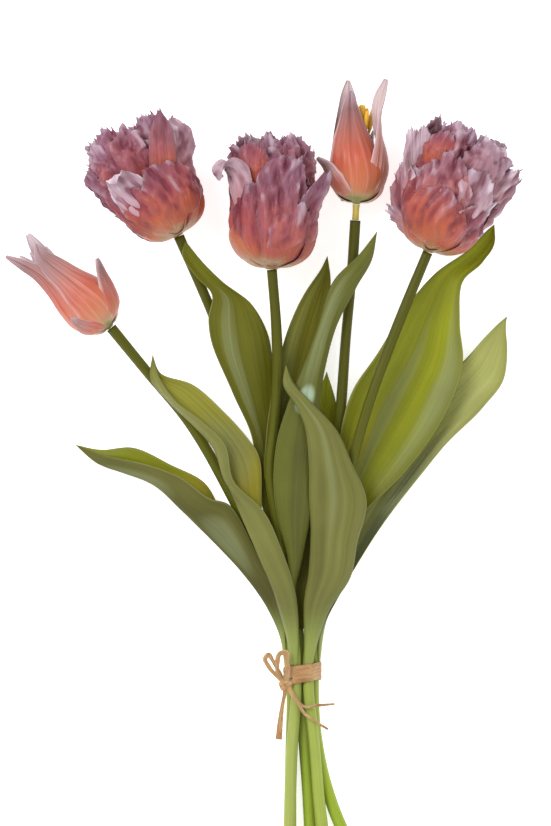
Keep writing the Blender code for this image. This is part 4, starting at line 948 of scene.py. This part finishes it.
def petal_finish():
    """Coral at the base, rose and mauve above, pale petals lilac-white, with a painted highlight on the
    folds' crests and painted shade in the valleys between them.
    """
    skin = Finish("petal_skin", 0.40, 0.3)
    along, across, crest, tone, pale, side = skin.attributes(*PETAL_VALUES)
    clouds = skin.noise(skin.place(), 55.0)
    spots = skin.noise(skin.place(), 210.0, 3.0)
    ribs = skin.streaks(across, 8.0, along, 1.5, turn=skin.times(tone, 17.0), detail=3.0)
    fine = skin.streaks(across, 28.0, along, 3.0, turn=skin.times(tone, 31.0))
    where = skin.weighed(-0.66, (along, 0.78), (tone, 0.44), (clouds, 0.60), (ribs, 0.15), (spots, 0.12))
    colour = skin.mix(side, skin.ramp(where, PETAL_INSIDE_RAMP), skin.ramp(where, PETAL_RAMP))
    foot = skin.span(skin.weighed(-0.10, (along, 1.0), (clouds, 0.2)), 0.30, 0.12)
    colour = skin.toward(colour, PETAL_FOOT, foot, 0.75)
    beside = skin.times(skin.math("ABSOLUTE", across), skin.span(along, 0.05, 0.30))
    outer = skin.math("MAXIMUM", beside, skin.times(along, 0.97))
    colour = skin.toward(colour, MAROON, skin.span(outer, 0.66, 0.98), 0.60)
    # Lilac-white mixed in: the pale petals' own colour, and a painted highlight on the crests of the folds,
    # stronger higher up the petal
    height = skin.span(skin.weighed(-0.12, (crest, 1.0), (spots, 0.3)), 0.10, 0.80)
    light = skin.times(height, skin.weighed(0.16, (pale, 0.50)))
    light = skin.weighed(0.0, (light, 1.0), (skin.times(pale, pale), 0.50))
    light = skin.times(light, skin.weighed(0.40, (skin.span(along, 0.2, 0.7), 0.7)))
    colour = skin.mix(light, colour, PALE_AND_HIGHLIGHT_LILAC)
    colour = skin.toward(colour, PETAL_RIM, skin.span(along, 0.95, 1.05), 0.4)
    # Painted shade in the hollows between the folds
    colour = skin.toward(colour, PETAL_VALLEY_SHADE, skin.span(crest, -0.05, -0.85), 0.75)
    colour = skin.shade(colour, ribs, 0.64, 1.12)
    colour = skin.shade(colour, fine, 0.86, 1.12)
    skin.bump(skin.weighed(0.0, (ribs, 1.0), (fine, 0.4), (spots, 0.9)), 0.8, 1.0)
    return skin.paint(colour, skin.weighed(0.26, (clouds, 0.2)))


def bud_finish():
    """Smooth coral petals with fine streaks and a painted highlight on their crests, pale green at the base
    and lilac-white at margins and tips.
    """
    skin = Finish("bud_skin", 0.38, 0.3)
    along, across, crest, tone, pale, side = skin.attributes(*PETAL_VALUES)
    clouds = skin.noise(skin.place(), 60.0)
    ribs = skin.streaks(across, 11.0, along, 1.1, turn=skin.times(tone, 23.0), detail=3.0)
    fine = skin.streaks(across, 36.0, along, 2.6, turn=skin.times(tone, 37.0))
    where = skin.weighed(-0.24, (along, 1.05), (clouds, 0.16), (ribs, 0.14))
    colour = skin.mix(side, skin.ramp(where, BUD_INSIDE_RAMP), skin.ramp(where, BUD_RAMP))
    colour = skin.toward(colour, BUD_RIM, skin.span(skin.math("ABSOLUTE", across), 0.72, 1.0), 0.55)
    # Painted highlight: lighter coral on the crests of the folds and ribs
    colour = skin.toward(colour, BUD_CREST_HIGHLIGHT, skin.span(crest, 0.2, 1.1), 0.18)
    frost = skin.times(pale, skin.span(skin.weighed(0.0, (fine, 0.5), (ribs, 0.5)), 0.35, 0.65))
    frost = skin.weighed(0.0, (frost, 0.75), (skin.times(pale, skin.span(along, 0.35, 0.8)), 0.45))
    colour = skin.mix(frost, colour, BUD_FROST)
    colour = skin.shade(colour, ribs, 0.90, 1.10)
    colour = skin.shade(colour, fine, 0.92, 1.08)
    skin.bump(skin.weighed(0.0, (ribs, 1.0), (fine, 0.5)), 0.5, 0.6)
    return skin.paint(colour, skin.weighed(0.28, (clouds, 0.2)))


def neck_finish():
    """Yellow, with fine lengthwise lines."""
    skin = Finish("neck_skin", 0.40)
    around, along = skin.attributes("around", "along")
    lines = skin.streaks(around, 14.0, along, 1.5)
    skin.bump(lines, 0.3, 0.6)
    return skin.paint(skin.shade(skin.ramp(along, NECK_RAMP), lines, 0.8, 1.2))


def stamen_finish():
    """Pale filaments under rough orange anthers."""
    skin = Finish("stamen_skin", 0.6)
    grains = skin.noise(skin.place(), 1400.0)
    skin.bump(grains, 0.5, 1.0)
    return skin.paint(skin.shade(skin.ramp(*skin.attributes("along"), STAMEN_RAMP), grains, 0.6, 1.3))


def raffia_finish():
    """Dry fibre: fine lengthwise lines, darker here and there."""
    skin = Finish("raffia_skin", 0.55)
    across, along = skin.attributes("across", "along")
    lines = skin.streaks(across, 5.0, along, 1.0, detail=4.0)
    fine = skin.streaks(across, 16.0, along, 2.0, detail=4.0)
    patches = skin.noise(skin.place(), 90.0)
    colour = skin.ramp(skin.weighed(-0.62, (lines, 1.5), (patches, 0.75)), RAFFIA_RAMP)
    skin.bump(skin.weighed(0.0, (lines, 1.0), (fine, 0.8)), 1.0, 1.0)
    return skin.paint(skin.shade(colour, fine, 0.62, 1.38))


def stem_line(name, count):
    return through(STEMS[name], count)


def stem(name, finish):
    """A stem with soft lengthwise ridges and a cut face at its foot."""
    draw = np.random.default_rng([17, int(name[-1])])
    rows, sides = STEM_RINGS
    line = stem_line(name, rows)
    turn = np.arange(sides) * 2 * math.pi / sides
    reach = line[:, 1:2]
    ridges = 0.06 * np.sin(5 * turn + draw.uniform(0, 6)) + 0.05 * np.sin(9 * turn + reach / 60)
    swell = 0.10 * np.sin(reach / 17 + draw.uniform(0, 6))
    even = np.interp(reach, STEM_REACH, [STEM_RADIUS_CUT, STEM_RADIUS_TIE, STEM_RADIUS_TIE, STEM_RADIUS_HEAD])
    points, faces, round_share, along = tube(line, even + ridges + swell, sides)
    add_piece(f"{name}_stalk", name, "stem", finish, points, faces,
              around=round_share, along=along, vivid=STEM_VIVID[name])


def sheath_row(clasp, clearance):
    """The three rib places where a leaf clasps its stem: a margin, the keel and the other margin."""
    stalk, y, facing, half_angle = clasp
    line = stem_line(stalk, FINE_LINE)
    i = int(np.argmin(np.abs(line[:, 1] - y)))
    along = unit(line[i + 1] - line[i - 1])
    out = np.array((math.cos(math.radians(facing)), 0, math.sin(math.radians(facing))))
    out = unit(out - along * (out @ along))
    side = np.cross(out, along)
    reach = STEM_RADIUS_TIE + clearance
    half = math.radians(half_angle)
    middle = line[i] + out * reach * math.cos(half)
    spread = side * reach * math.sin(half)
    return middle - spread, line[i] + out * reach, middle + spread


def leaf_grid(form, rows, columns):
    """The middle surface of a leaf, from the tongue or long sheath at its foot to its tip."""
    stalk, y, facing, half_angle = form["clasp"]
    sheath = sheath_row(form["clasp"], SHEATH_CLEARANCE)
    tongue = sheath_row((stalk, y - TONGUE_LENGTH, facing, half_angle * TONGUE_SPREAD), TONGUE_CLEARANCE)
    tip = np.array(form["tip"], float)
    first, keel, last = zip(*form.get("sheath", [tongue]), sheath)
    feet = {"keel": keel, "left": first, "right": last}
    ribs = np.stack([np.vstack([*foot, *form[rib], tip]) for rib, foot in feet.items()], axis=1)
    keel, first, last = through(ribs.reshape(len(ribs), 9), rows).reshape(rows, 3, 3).transpose(1, 0, 2)
    for margin in (first, last):
        margin[-1] = tip + (margin[-2] - keel[-2]) * TIP_SHARE
    v = np.linspace(-1, 1, columns)[None, :, None]
    u = np.linspace(0, 1, rows)[:, None]
    keel, first, last = keel[:, None, :], first[:, None, :], last[:, None, :]
    grid = keel + v * (last - first) / 2 + np.abs(v) ** form["crease"] * ((first + last) / 2 - keel)
    height, count, phase = form["waves"]
    flat = v[..., 0]
    ripple = np.sin(2 * math.pi * count * u + phase + 1.7 * np.sign(flat))
    free = np.clip((u - 0.25) / 0.3, 0, 1) * np.clip((1 - u) / 0.15, 0, 1)
    return grid + grid_normals(grid) * (height * ripple * np.abs(flat) ** 3 * free)[..., None]


def leaf(name, form):
    """A leaf with fine ribs and a slight swell."""
    rows, columns = LEAF_GRID
    grid = leaf_grid(form, rows, columns)
    t = np.linspace(-1, 1, columns)[None, :]
    s = np.linspace(0, 1, rows)[:, None]
    draw = np.random.default_rng([29, int(name[-1])])
    ribs = 0.10 * waves(t * 5.0, s * 0.3, draw, lean=0.5) * np.clip(s / 0.15, 0, 1)
    swell = 0.35 * waves(t * 0.9, s * 3.0, draw, lean=1.0) * np.clip((s - 0.15) / 0.3, 0, 1)
    grid = grid + grid_normals(grid) * ((ribs + swell) * np.clip((1 - s) / 0.1, 0, 1))[..., None]
    add_blade(f"{name}_blade", name, "leaf", leaf_finish(name, *LEAF_COLOURS[name]), grid,
              edged(LEAF_THICKNESS, s, t), across=t, along=s)


def flower_frame(form):
    """A matrix for a flower's own frame, clear of its stem's end by the seating gap.

    Its height runs along the flower's axis, and its 90 degree side is up.
    """
    end = stem_line(form["stem"], FINE_LINE)[-1]
    height = Vector(form["axis"]).normalized()
    up = Vector((0, 0, 1))
    up = (up - height * up.dot(height)).normalized()
    turn = Matrix((up.cross(height), up, height)).transposed().to_4x4()
    lift = form.get("lift", 0.0) + SEAT_GAP + PETAL_THICKNESS
    return Matrix.Translation(Vector(end) + height * lift) @ turn


def set_in_frame(points, frame):
    turn = np.array(frame.to_3x3())
    return np.asarray(points) @ turn.T + np.array(frame.translation)


def profile_curve(name, radius, height):
    """Distance along a petal, then its radius and height there, with a straight run on past the margin."""
    line = through([(r * radius, 0, z * height) for r, z in PROFILES[name]], PROFILE_LINE)
    end = line[-1] + unit(line[-1] - line[-2]) * height * 0.4
    line = np.vstack([line, end])
    return distances(line), line[:, 0], line[:, 2]


def round_surface(form, petal, half_at):
    """A round layer's petal: its length, its half width at each share of it, and what places points on it."""
    facing, kind, wide, tall = petal[:4]
    along, radii, heights = profile_curve(kind, form["radius"] * wide, form["height"] * tall)
    angle = math.radians(180 - facing)

    def place(ell, reach, rise):
        r = np.interp(reach, along, radii)
        z = np.interp(reach, along, heights)
        dr = np.interp(reach + SLOPE_STEP, along, radii) - r
        dz = np.interp(reach + SLOPE_STEP, along, heights) - z
        size = np.hypot(dr, dz)
        bend = np.maximum(r * LAYER_BEND, LEAST_BEND)
        turn = ell / bend
        out = r - bend * (1 - np.cos(turn)) + rise * dz / size
        side = bend * np.sin(turn)
        return np.stack([out * math.cos(angle) - side * math.sin(angle),
                         out * math.sin(angle) + side * math.cos(angle), z - rise * dr / size], axis=-1)

    return along[-2], half_at, place


def drawn_surface(bend, stations):
    """A drawn petal: its length, its half width at each share of it, and what places points on it."""
    line = through(stations, PROFILE_LINE)
    line = np.vstack([line, line[-1] + (line[-1] - line[-2]) * 12])
    along = distances(line[:, :3])
    # The flower's frame has its own x to the left
    spine = line[:, :3] * (-1, 1, 1)
    tangent = unit(np.gradient(spine, axis=0))
    turn = np.radians(line[:, 4])
    cross = np.stack([-np.cos(turn), -np.sin(turn), turn * 0], axis=1)
    cross = unit(cross - tangent * (cross * tangent).sum(axis=1, keepdims=True))
    face = np.cross(cross, tangent)
    length = along[-2]

    def at(reach, values):
        return np.stack([np.interp(reach, along, values[:, i]) for i in range(3)], axis=-1)

    def place(ell, reach, rise):
        out = np.interp(reach / length, [0, 0.3], [ROOT_BEND, bend])
        swing = ell / out
        sideways = ((out + rise) * np.sin(swing))[..., None]
        back = ((out + rise) * np.cos(swing) - out)[..., None]
        return at(reach, spine) + at(reach, cross) * sideways + at(reach, face) * back

    return length, lambda share: np.interp(share * length, along[:-1], line[:-1, 3]), place


def parrot_blade(surface, size, seed, rumple, fringe):
    """A rumpled, fringed petal: its grid, the shares along and across it, and how high it is folded."""
    length, half_at, place = surface
    rows, columns = size
    draw = np.random.default_rng(seed)
    t = np.linspace(-1, 1, columns)[None, :]
    s = np.linspace(0, 1, rows)[:, None]
    lobes = 0.03 * waves(t * 1.3, 0, draw)
    top = 1 - 0.30 * np.abs(t) ** 2.6 + lobes
    comb = fingers(columns, draw)[None, :] * FRINGE * fringe
    reach = s * length * top + s**22 * comb
    share = reach / length
    side_comb = fingers(rows, draw)[:, None] * FRINGE * fringe * 0.7 * np.clip((s - 0.5) / 0.2, 0, 1)
    lobed = 1 + 0.08 * waves(s * 2.0, 0, draw) * np.clip(s / 0.4, 0, 1)
    ell = t * half_at(np.clip(share, 0, 1)) * lobed + np.sign(t) * np.abs(t) ** 20 * side_comb * (1 - s**4)
    dents = waves(ell / DENTS[0], reach / DENTS[1], draw)
    long_folds = creases(ell / LONG_FOLDS[0], reach / LONG_FOLDS[1], draw, lean=0.5)
    small_folds = creases(ell / SMALL_FOLDS[0], reach / SMALL_FOLDS[1], draw, lean=1.2)
    tiny_folds = creases(ell / TINY_FOLDS[0], reach / TINY_FOLDS[1], draw, lean=1.2)
    free = np.clip(share, 0, 1.1)
    upper = np.clip((free - 0.25) / 0.5, 0, 1)
    rim = np.maximum(np.abs(t) ** 5, s**6)
    height = rumple * (1.3 * long_folds + 0.7 * dents) * free**0.9
    height = height + rumple**1.6 * (0.95 * small_folds + 0.30 * tiny_folds) * upper
    ruffle = rumple * rim * free * (0.9 * waves((ell + reach * 0.35) / 7.0, 0, draw, lean=0.0) + 1.2)
    splay = s**22 * comb * draw.uniform(-0.5, 0.7, columns)[None, :]
    crest = (height + ruffle) / (1.9 * max(rumple, 0.4))
    return place(ell, reach, height + ruffle + splay), share, t, crest


def lily_blade(surface, seed):
    """A smooth pointed petal: its grid, the shares along and across it, and how high it is folded."""
    length, half_at, place = surface
    rows, columns = LILY_GRID
    draw = np.random.default_rng(seed)
    t = np.linspace(-1, 1, columns)[None, :]
    s = np.linspace(0, 1, rows)[:, None]
    ell = t * half_at(s) * (1 + 0.03 * waves(s * 3.0, 0, draw))
    ribs = waves(t * 3.2, s * 0.4, draw, lean=0.4)
    keel = -0.9 * np.exp(-((t / 0.16) ** 2)) * np.clip((s - 0.3) / 0.3, 0, 1)
    rolled = -1.2 * np.abs(t) ** 5 * np.clip((s - 0.2) / 0.4, 0, 1)
    fine = 0.22 * ribs * np.sin(math.pi * np.clip(s * 1.1, 0, 1))
    height = fine + 0.7 * waves(ell / 14, s * 1.5, draw) * s + keel + rolled
    return place(ell, s * length, height), s, t, ribs + keel * 0.6


def add_petal(name, node, slot, finish, frame, blade, thickness, tone, pale):
    """A petal piece from its blade in the flower's frame."""
    grid, along, across, crest = blade
    add_blade(name, node, slot, finish, set_in_frame(grid, frame), edged(thickness, along, across),
              along=along, across=across, crest=crest, tone=tone, pale=pale)


def add_seat(name, slot, finish, form, along_share):
    """The solid bowl inside the petals' roots, which meets the top of the stem."""
    shape = np.array([(r * form["radius"] * form["seat"], z * form["height"], 0) for r, z in SEAT_PROFILE])
    shape[0, 1] = -PETAL_THICKNESS
    rings, sides = SEAT_RINGS
    radii, heights, _ = through(shape, rings).T
    points, faces = turned_mesh(radii, heights, sides)
    along = np.repeat(np.clip(heights / form["height"], 0.02, 1) + along_share, sides)
    add_piece(f"{name}_seat", name, slot, finish, set_in_frame(points, flower_frame(form)), faces,
              side=1.0, along=along, across=0.0, crest=0.0, tone=0.1, pale=0.0)


def parrot_half(half):
    """The half width of a bloom's round petal at each share of its length."""
    return lambda share: half * (0.26 + 0.74 * np.sin(np.minimum(share / 0.6, 1) * math.pi / 2))


def lily_half(half):
    """The half width of a bud's round petal at each share of its length, down to a point."""
    def at(share):
        swell = 0.30 + 0.70 * np.sin(np.minimum(share / 0.36, 1) * math.pi / 2)
        return half * swell * (1 - 0.95 * np.clip((share - 0.36) / 0.64, 0, 1) ** 1.25)

    return at


def bloom(name, form, finish):
    """A full flower: its round layers, the petals drawn one by one, a core and a seat."""
    frame = flower_frame(form)
    for i, layer in enumerate(form["layers"]):
        half, tone, pale = layer[4:]
        surface = round_surface(form, layer, parrot_half(half))
        blade = parrot_blade(surface, LAYER_GRID, [form["seed"], i], LAYER_RUMPLE, LAYER_FRINGE)
        add_petal(f"{name}_layer_{i + 1:02d}", name, "petal", finish, frame, blade, PETAL_SKIN, tone, pale)
    for i, (part, drawn) in enumerate(DRAWN_PETALS[name].items()):
        bend, tone, pale, rumple, fringe, stations = drawn
        surface = drawn_surface(bend, stations)
        blade = parrot_blade(surface, DRAWN_GRID, [form["seed"], 100 + i], rumple, fringe)
        add_petal(f"{name}_{part}", name, "petal", finish, frame, blade, PETAL_SKIN, tone, pale)
    wide, tall = HEART
    points, faces = egg_mesh(form["radius"] * wide, 0, form["height"] * tall, HEART_RINGS)
    # The core's crest below nought gives it a little of the painted valley shade
    add_piece(f"{name}_heart", name, "petal", finish, set_in_frame(points, frame), faces,
              side=1.0, along=0.25, across=0.0, crest=-0.2, tone=0.2, pale=0.0)
    add_seat(name, "petal", finish, form, BLOOM_SEAT_SHARE)


def bud(name, form, finish):
    """A lily-shaped bud: its petals at the back, the drawn ones in front, and a seat."""
    frame = flower_frame(form)
    for i, petal in enumerate(form["petals"]):
        blade = lily_blade(round_surface(form, petal, lily_half(petal[4])), [form["seed"], i])
        add_petal(f"{name}_back_{i + 1}", name, "bud_petal", finish, frame, blade, LILY_SKIN, 0.1 * i,
                  form["pale"])
    for i, (part, (bend, pale, stations)) in enumerate(form["drawn"].items()):
        blade = lily_blade(drawn_surface(bend, stations), [form["seed"], 100 + i])
        add_petal(f"{name}_{part}", name, "bud_petal", finish, frame, blade, LILY_SKIN, 0.35 + 0.13 * i, pale)
    add_seat(name, "bud_petal", finish, form, BUD_SEAT_SHARE)


def neck(name, form):
    """The bare pedicel between a stem's end and its bud."""
    rows, sides = NECK_RINGS
    reach = np.linspace(-form["lift"] - PETAL_THICKNESS, -SEAT_GAP - PETAL_THICKNESS, rows)
    line = set_in_frame(np.stack([reach * 0, reach * 0, reach], axis=1), flower_frame(form))
    radii = np.interp(np.linspace(0, 1, rows), *zip(*NECK_RADII))
    points, faces, round_share, along = tube(line, radii, sides)
    add_piece(f"{name}_stalk", name, "neck", neck_finish(), points, faces, around=round_share, along=along)


def centre_rod(name, part, finish, frame, start, end, radii):
    """A stamen or the pistil, straight from start to end in the flower's frame."""
    rows, sides = ROD_RINGS
    shares = np.linspace(0, 1, rows)
    line = start + (end - start) * shares[:, None]
    points, faces, _, along = tube(set_in_frame(line, frame), np.interp(shares, *zip(*radii)), sides)
    add_piece(f"{name}_{part}", name, "stamen", finish, points, faces, along=along)


def bud_centre(name, form):
    """The pistil with the stamens round it, on a blunt foot."""
    frame = flower_frame(form)
    finish = stamen_finish()
    foot = np.array((0, 0, CENTRE_FOOT + 1.0))
    for i in range(STAMENS):
        angle = i * 2 * math.pi / STAMENS
        way = np.array((math.cos(angle), math.sin(angle), 0.0))
        top = np.array((0, 0, CENTRE_HEAD + STAMEN_UNEVEN * math.sin(5.0 * i)))
        centre_rod(name, f"stamen_{i + 1}", finish, frame, way * STAMEN_RING + foot,
                   way * (STAMEN_RING + STAMEN_LEAN) + top, STAMEN_RADII)
    centre_rod(name, "pistil", finish, frame, foot, np.array((0, 0, CENTRE_HEAD + PISTIL_OVER)), PISTIL_RADII)
    radius, tall = FOOT_SIZE
    points, faces = egg_mesh(radius, CENTRE_FOOT, CENTRE_FOOT + tall, FOOT_RINGS)
    add_piece(f"{name}_foot", name, "stamen", finish, set_in_frame(points, frame), faces, along=0.1)


def band_outline(angle, grow):
    """Points round the gathered stems at the given angles, as seen along them, flat where the band rests."""
    ways = np.stack([np.cos(angle), np.sin(angle)], axis=1)
    centres = np.array(BAND_CENTRES)
    nearest = centres[np.argmax(ways @ centres.T, axis=1)]
    reach = STEM_RADIUS_TIE + BAND_CLEARANCE + grow
    ring = nearest + ways * reach
    ring[ways[:, 1] < -0.95, 1] = BAND_CENTRES[0][1] - reach
    return ring


def band(name, finish):
    """Wraps side by side, each a flat ribbon of fibre with its edges turned a little."""
    angle = (np.arange(BAND_POINTS) + 0.5) * 2 * math.pi / BAND_POINTS
    share = np.linspace(-1, 1, BAND_RIBS)
    crowns = BAND_THICKNESS * (0.62 + 0.32 * (1 - share * share))
    ribs = [(v, 0.0) for v in share[::-1]] + list(zip(share, crowns))
    half = BAND_WIDTH / WRAPS / 2 * WRAP_OVERLAP
    faces = [(a, d, c, b) for a, b, c, d in ring_faces(len(ribs), BAND_POINTS, closed=True)]
    along = np.tile(np.abs(np.arange(BAND_POINTS) / BAND_POINTS * 2 - 1) * 8, len(ribs))
    across = np.repeat([v for v, _ in ribs], BAND_POINTS)
    for wrap in range(WRAPS):
        phase = np.random.default_rng([41, wrap]).uniform(0, 6)
        middle = BAND_WIDTH * ((wrap + 0.5) / WRAPS - 0.5)
        drift = 0.35 * np.sin(angle * 2 + phase) + 0.2 * np.sin(angle * 5 + 2 * phase)
        rings = []
        for v, grow in ribs:
            ring = band_outline(angle, grow)
            y = middle + v * half + drift + BAND_SLANT * ring[:, 0]
            rings.append(np.stack([ring[:, 0], y, ring[:, 1]], axis=1))
        add_piece(f"{name}_wrap_{wrap + 1}", name, "raffia", finish, np.concatenate(rings), faces,
                  across=across + 3 * wrap, along=along)


def bow(name, finish):
    """The knot with its loops and tails, each strand a creased ribbon."""
    rows, sides = STRAND_RINGS
    turn = np.arange(sides) * 2 * math.pi / sides
    a = np.cos(turn)[None, :]
    b = np.sin(turn)[None, :] * (0.55 + 0.45 * np.abs(np.sin(turn + 1.2)))[None, :]
    far = np.linspace(0, 6, rows)
    for i, (strand, stations) in enumerate(BOW_STRANDS.items()):
        draw = np.random.default_rng([43, i])
        line = through(stations, rows)
        _, right, up = carried_frames(line[:, :3])
        half = line[:, 3:] * (1 + 0.08 * waves(far, 0, draw))[:, None]
        crease = 0.22 * np.sin(a * 6 + draw.uniform(0, 6))
        rings = (line[:, None, :3] + right[:, None, :] * (half * a)[..., None]
                 - up[:, None, :] * (STRAND_THICKNESS / 2 * (b + crease))[..., None])
        rings[..., 2] += BOW_LIFT
        points, faces = rings_mesh(rings)
        across = np.tile(a.ravel() + 0.2 * np.sin(turn), rows) + 2 * i
        add_piece(f"{name}_{strand}", name, "raffia", finish, points, faces,
                  across=across, along=np.repeat(far, sides))
    points, faces = egg_mesh(1.0, -1.0, 1.0, KNOT_RINGS)
    turn = np.arctan2(points[:, 1], points[:, 0])
    grooves = 1 + 0.07 * np.sin(5 * turn + 2.5 * points[:, 2])
    points = points * np.stack([grooves, grooves, grooves * 0 + 1], axis=1) * np.array(BOW_KNOT["size"])
    points = points + np.array(BOW_KNOT["place"]) + (0, 0, BOW_LIFT)
    add_piece(f"{name}_knot", name, "raffia", finish, points, faces,
              across=turn * 0.8, along=points[:, 1] * 0.2)


def pale_floor():
    """A plain pale floor, a little under the lowest piece."""
    mesh = bpy.data.meshes.new("floor")
    r = FLOOR_REACH
    mesh.from_pydata([(-r, -r, 0), (r, -r, 0), (r, r, 0), (-r, r, 0)], [], [(0, 1, 2, 3)])
    floor = bpy.data.objects.new("floor", mesh)
    floor.location.z = FLOOR_DROP * MM
    paper = Finish("floor_paper", 0.9, 0.1)
    grain = paper.noise(paper.place(), 3.0)
    paper.shader.inputs["Emission Color"].default_value = WHITE
    paper.shader.inputs["Emission Strength"].default_value = FLOOR_GLOW
    mesh.materials.append(paper.paint(paper.shade(FLOOR_COLOUR, grain, 0.99, 1.01)))
    bpy.context.scene.collection.objects.link(floor)


def studio_light():
    """Even light from all round, a broad soft lamp from the upper left and a weaker one opposite."""
    world = bpy.data.worlds.new("room")
    world.use_nodes = True
    background = world.node_tree.nodes["Background"]
    background.inputs["Color"].default_value = WHITE
    background.inputs["Strength"].default_value = ROOM_LIGHT
    bpy.context.scene.world = world
    for light, (place, size, power) in LIGHTS.items():
        lamp = bpy.data.lights.new(light, "AREA")
        lamp.size = size
        lamp.energy = power
        holder = bpy.data.objects.new(light, lamp)
        holder.location = place
        aim = Vector(LIGHT_AIM) - Vector(place)
        holder.rotation_euler = aim.to_track_quat("-Z", "Y").to_euler()
        bpy.context.scene.collection.objects.link(holder)


def camera():
    """Straight over the bunch, far enough off that it is seen as in the photograph."""
    data = bpy.data.cameras.new("camera")
    data.sensor_width = SENSOR
    data.lens = SENSOR * CAMERA_HEIGHT / (max(PICTURE) * MM_PER_PIXEL)
    data.clip_end = CAMERA_SIGHT
    made = bpy.data.objects.new("camera", data)
    right = (PICTURE[0] / 2 - ORIGIN_PIXEL[0]) * MM_PER_PIXEL
    ahead = (ORIGIN_PIXEL[1] - PICTURE[1] / 2) * MM_PER_PIXEL
    made.location = Vector((right, ahead, CAMERA_HEIGHT + CAMERA_AIM_HEIGHT)) * MM
    bpy.context.scene.collection.objects.link(made)
    bpy.context.scene.camera = made
    bpy.context.scene.view_settings.view_transform = "Standard"


def main():
    stalks = stem_finish()
    for name in STEMS:
        stem(name, stalks)
    for name, form in LEAVES.items():
        leaf(name, form)
    petals = petal_finish()
    for name, form in BLOOMS.items():
        bloom(name, form, petals)
    buds = bud_finish()
    for name, form in BUDS.items():
        bud(name, form, buds)
    neck("neck_4", BUDS["bud_4"])
    bud_centre("centre_4", BUDS["bud_4"])
    fibre = raffia_finish()
    band("raffia_band", fibre)
    bow("raffia_bow", fibre)
    pale_floor()
    studio_light()
    camera()


main()
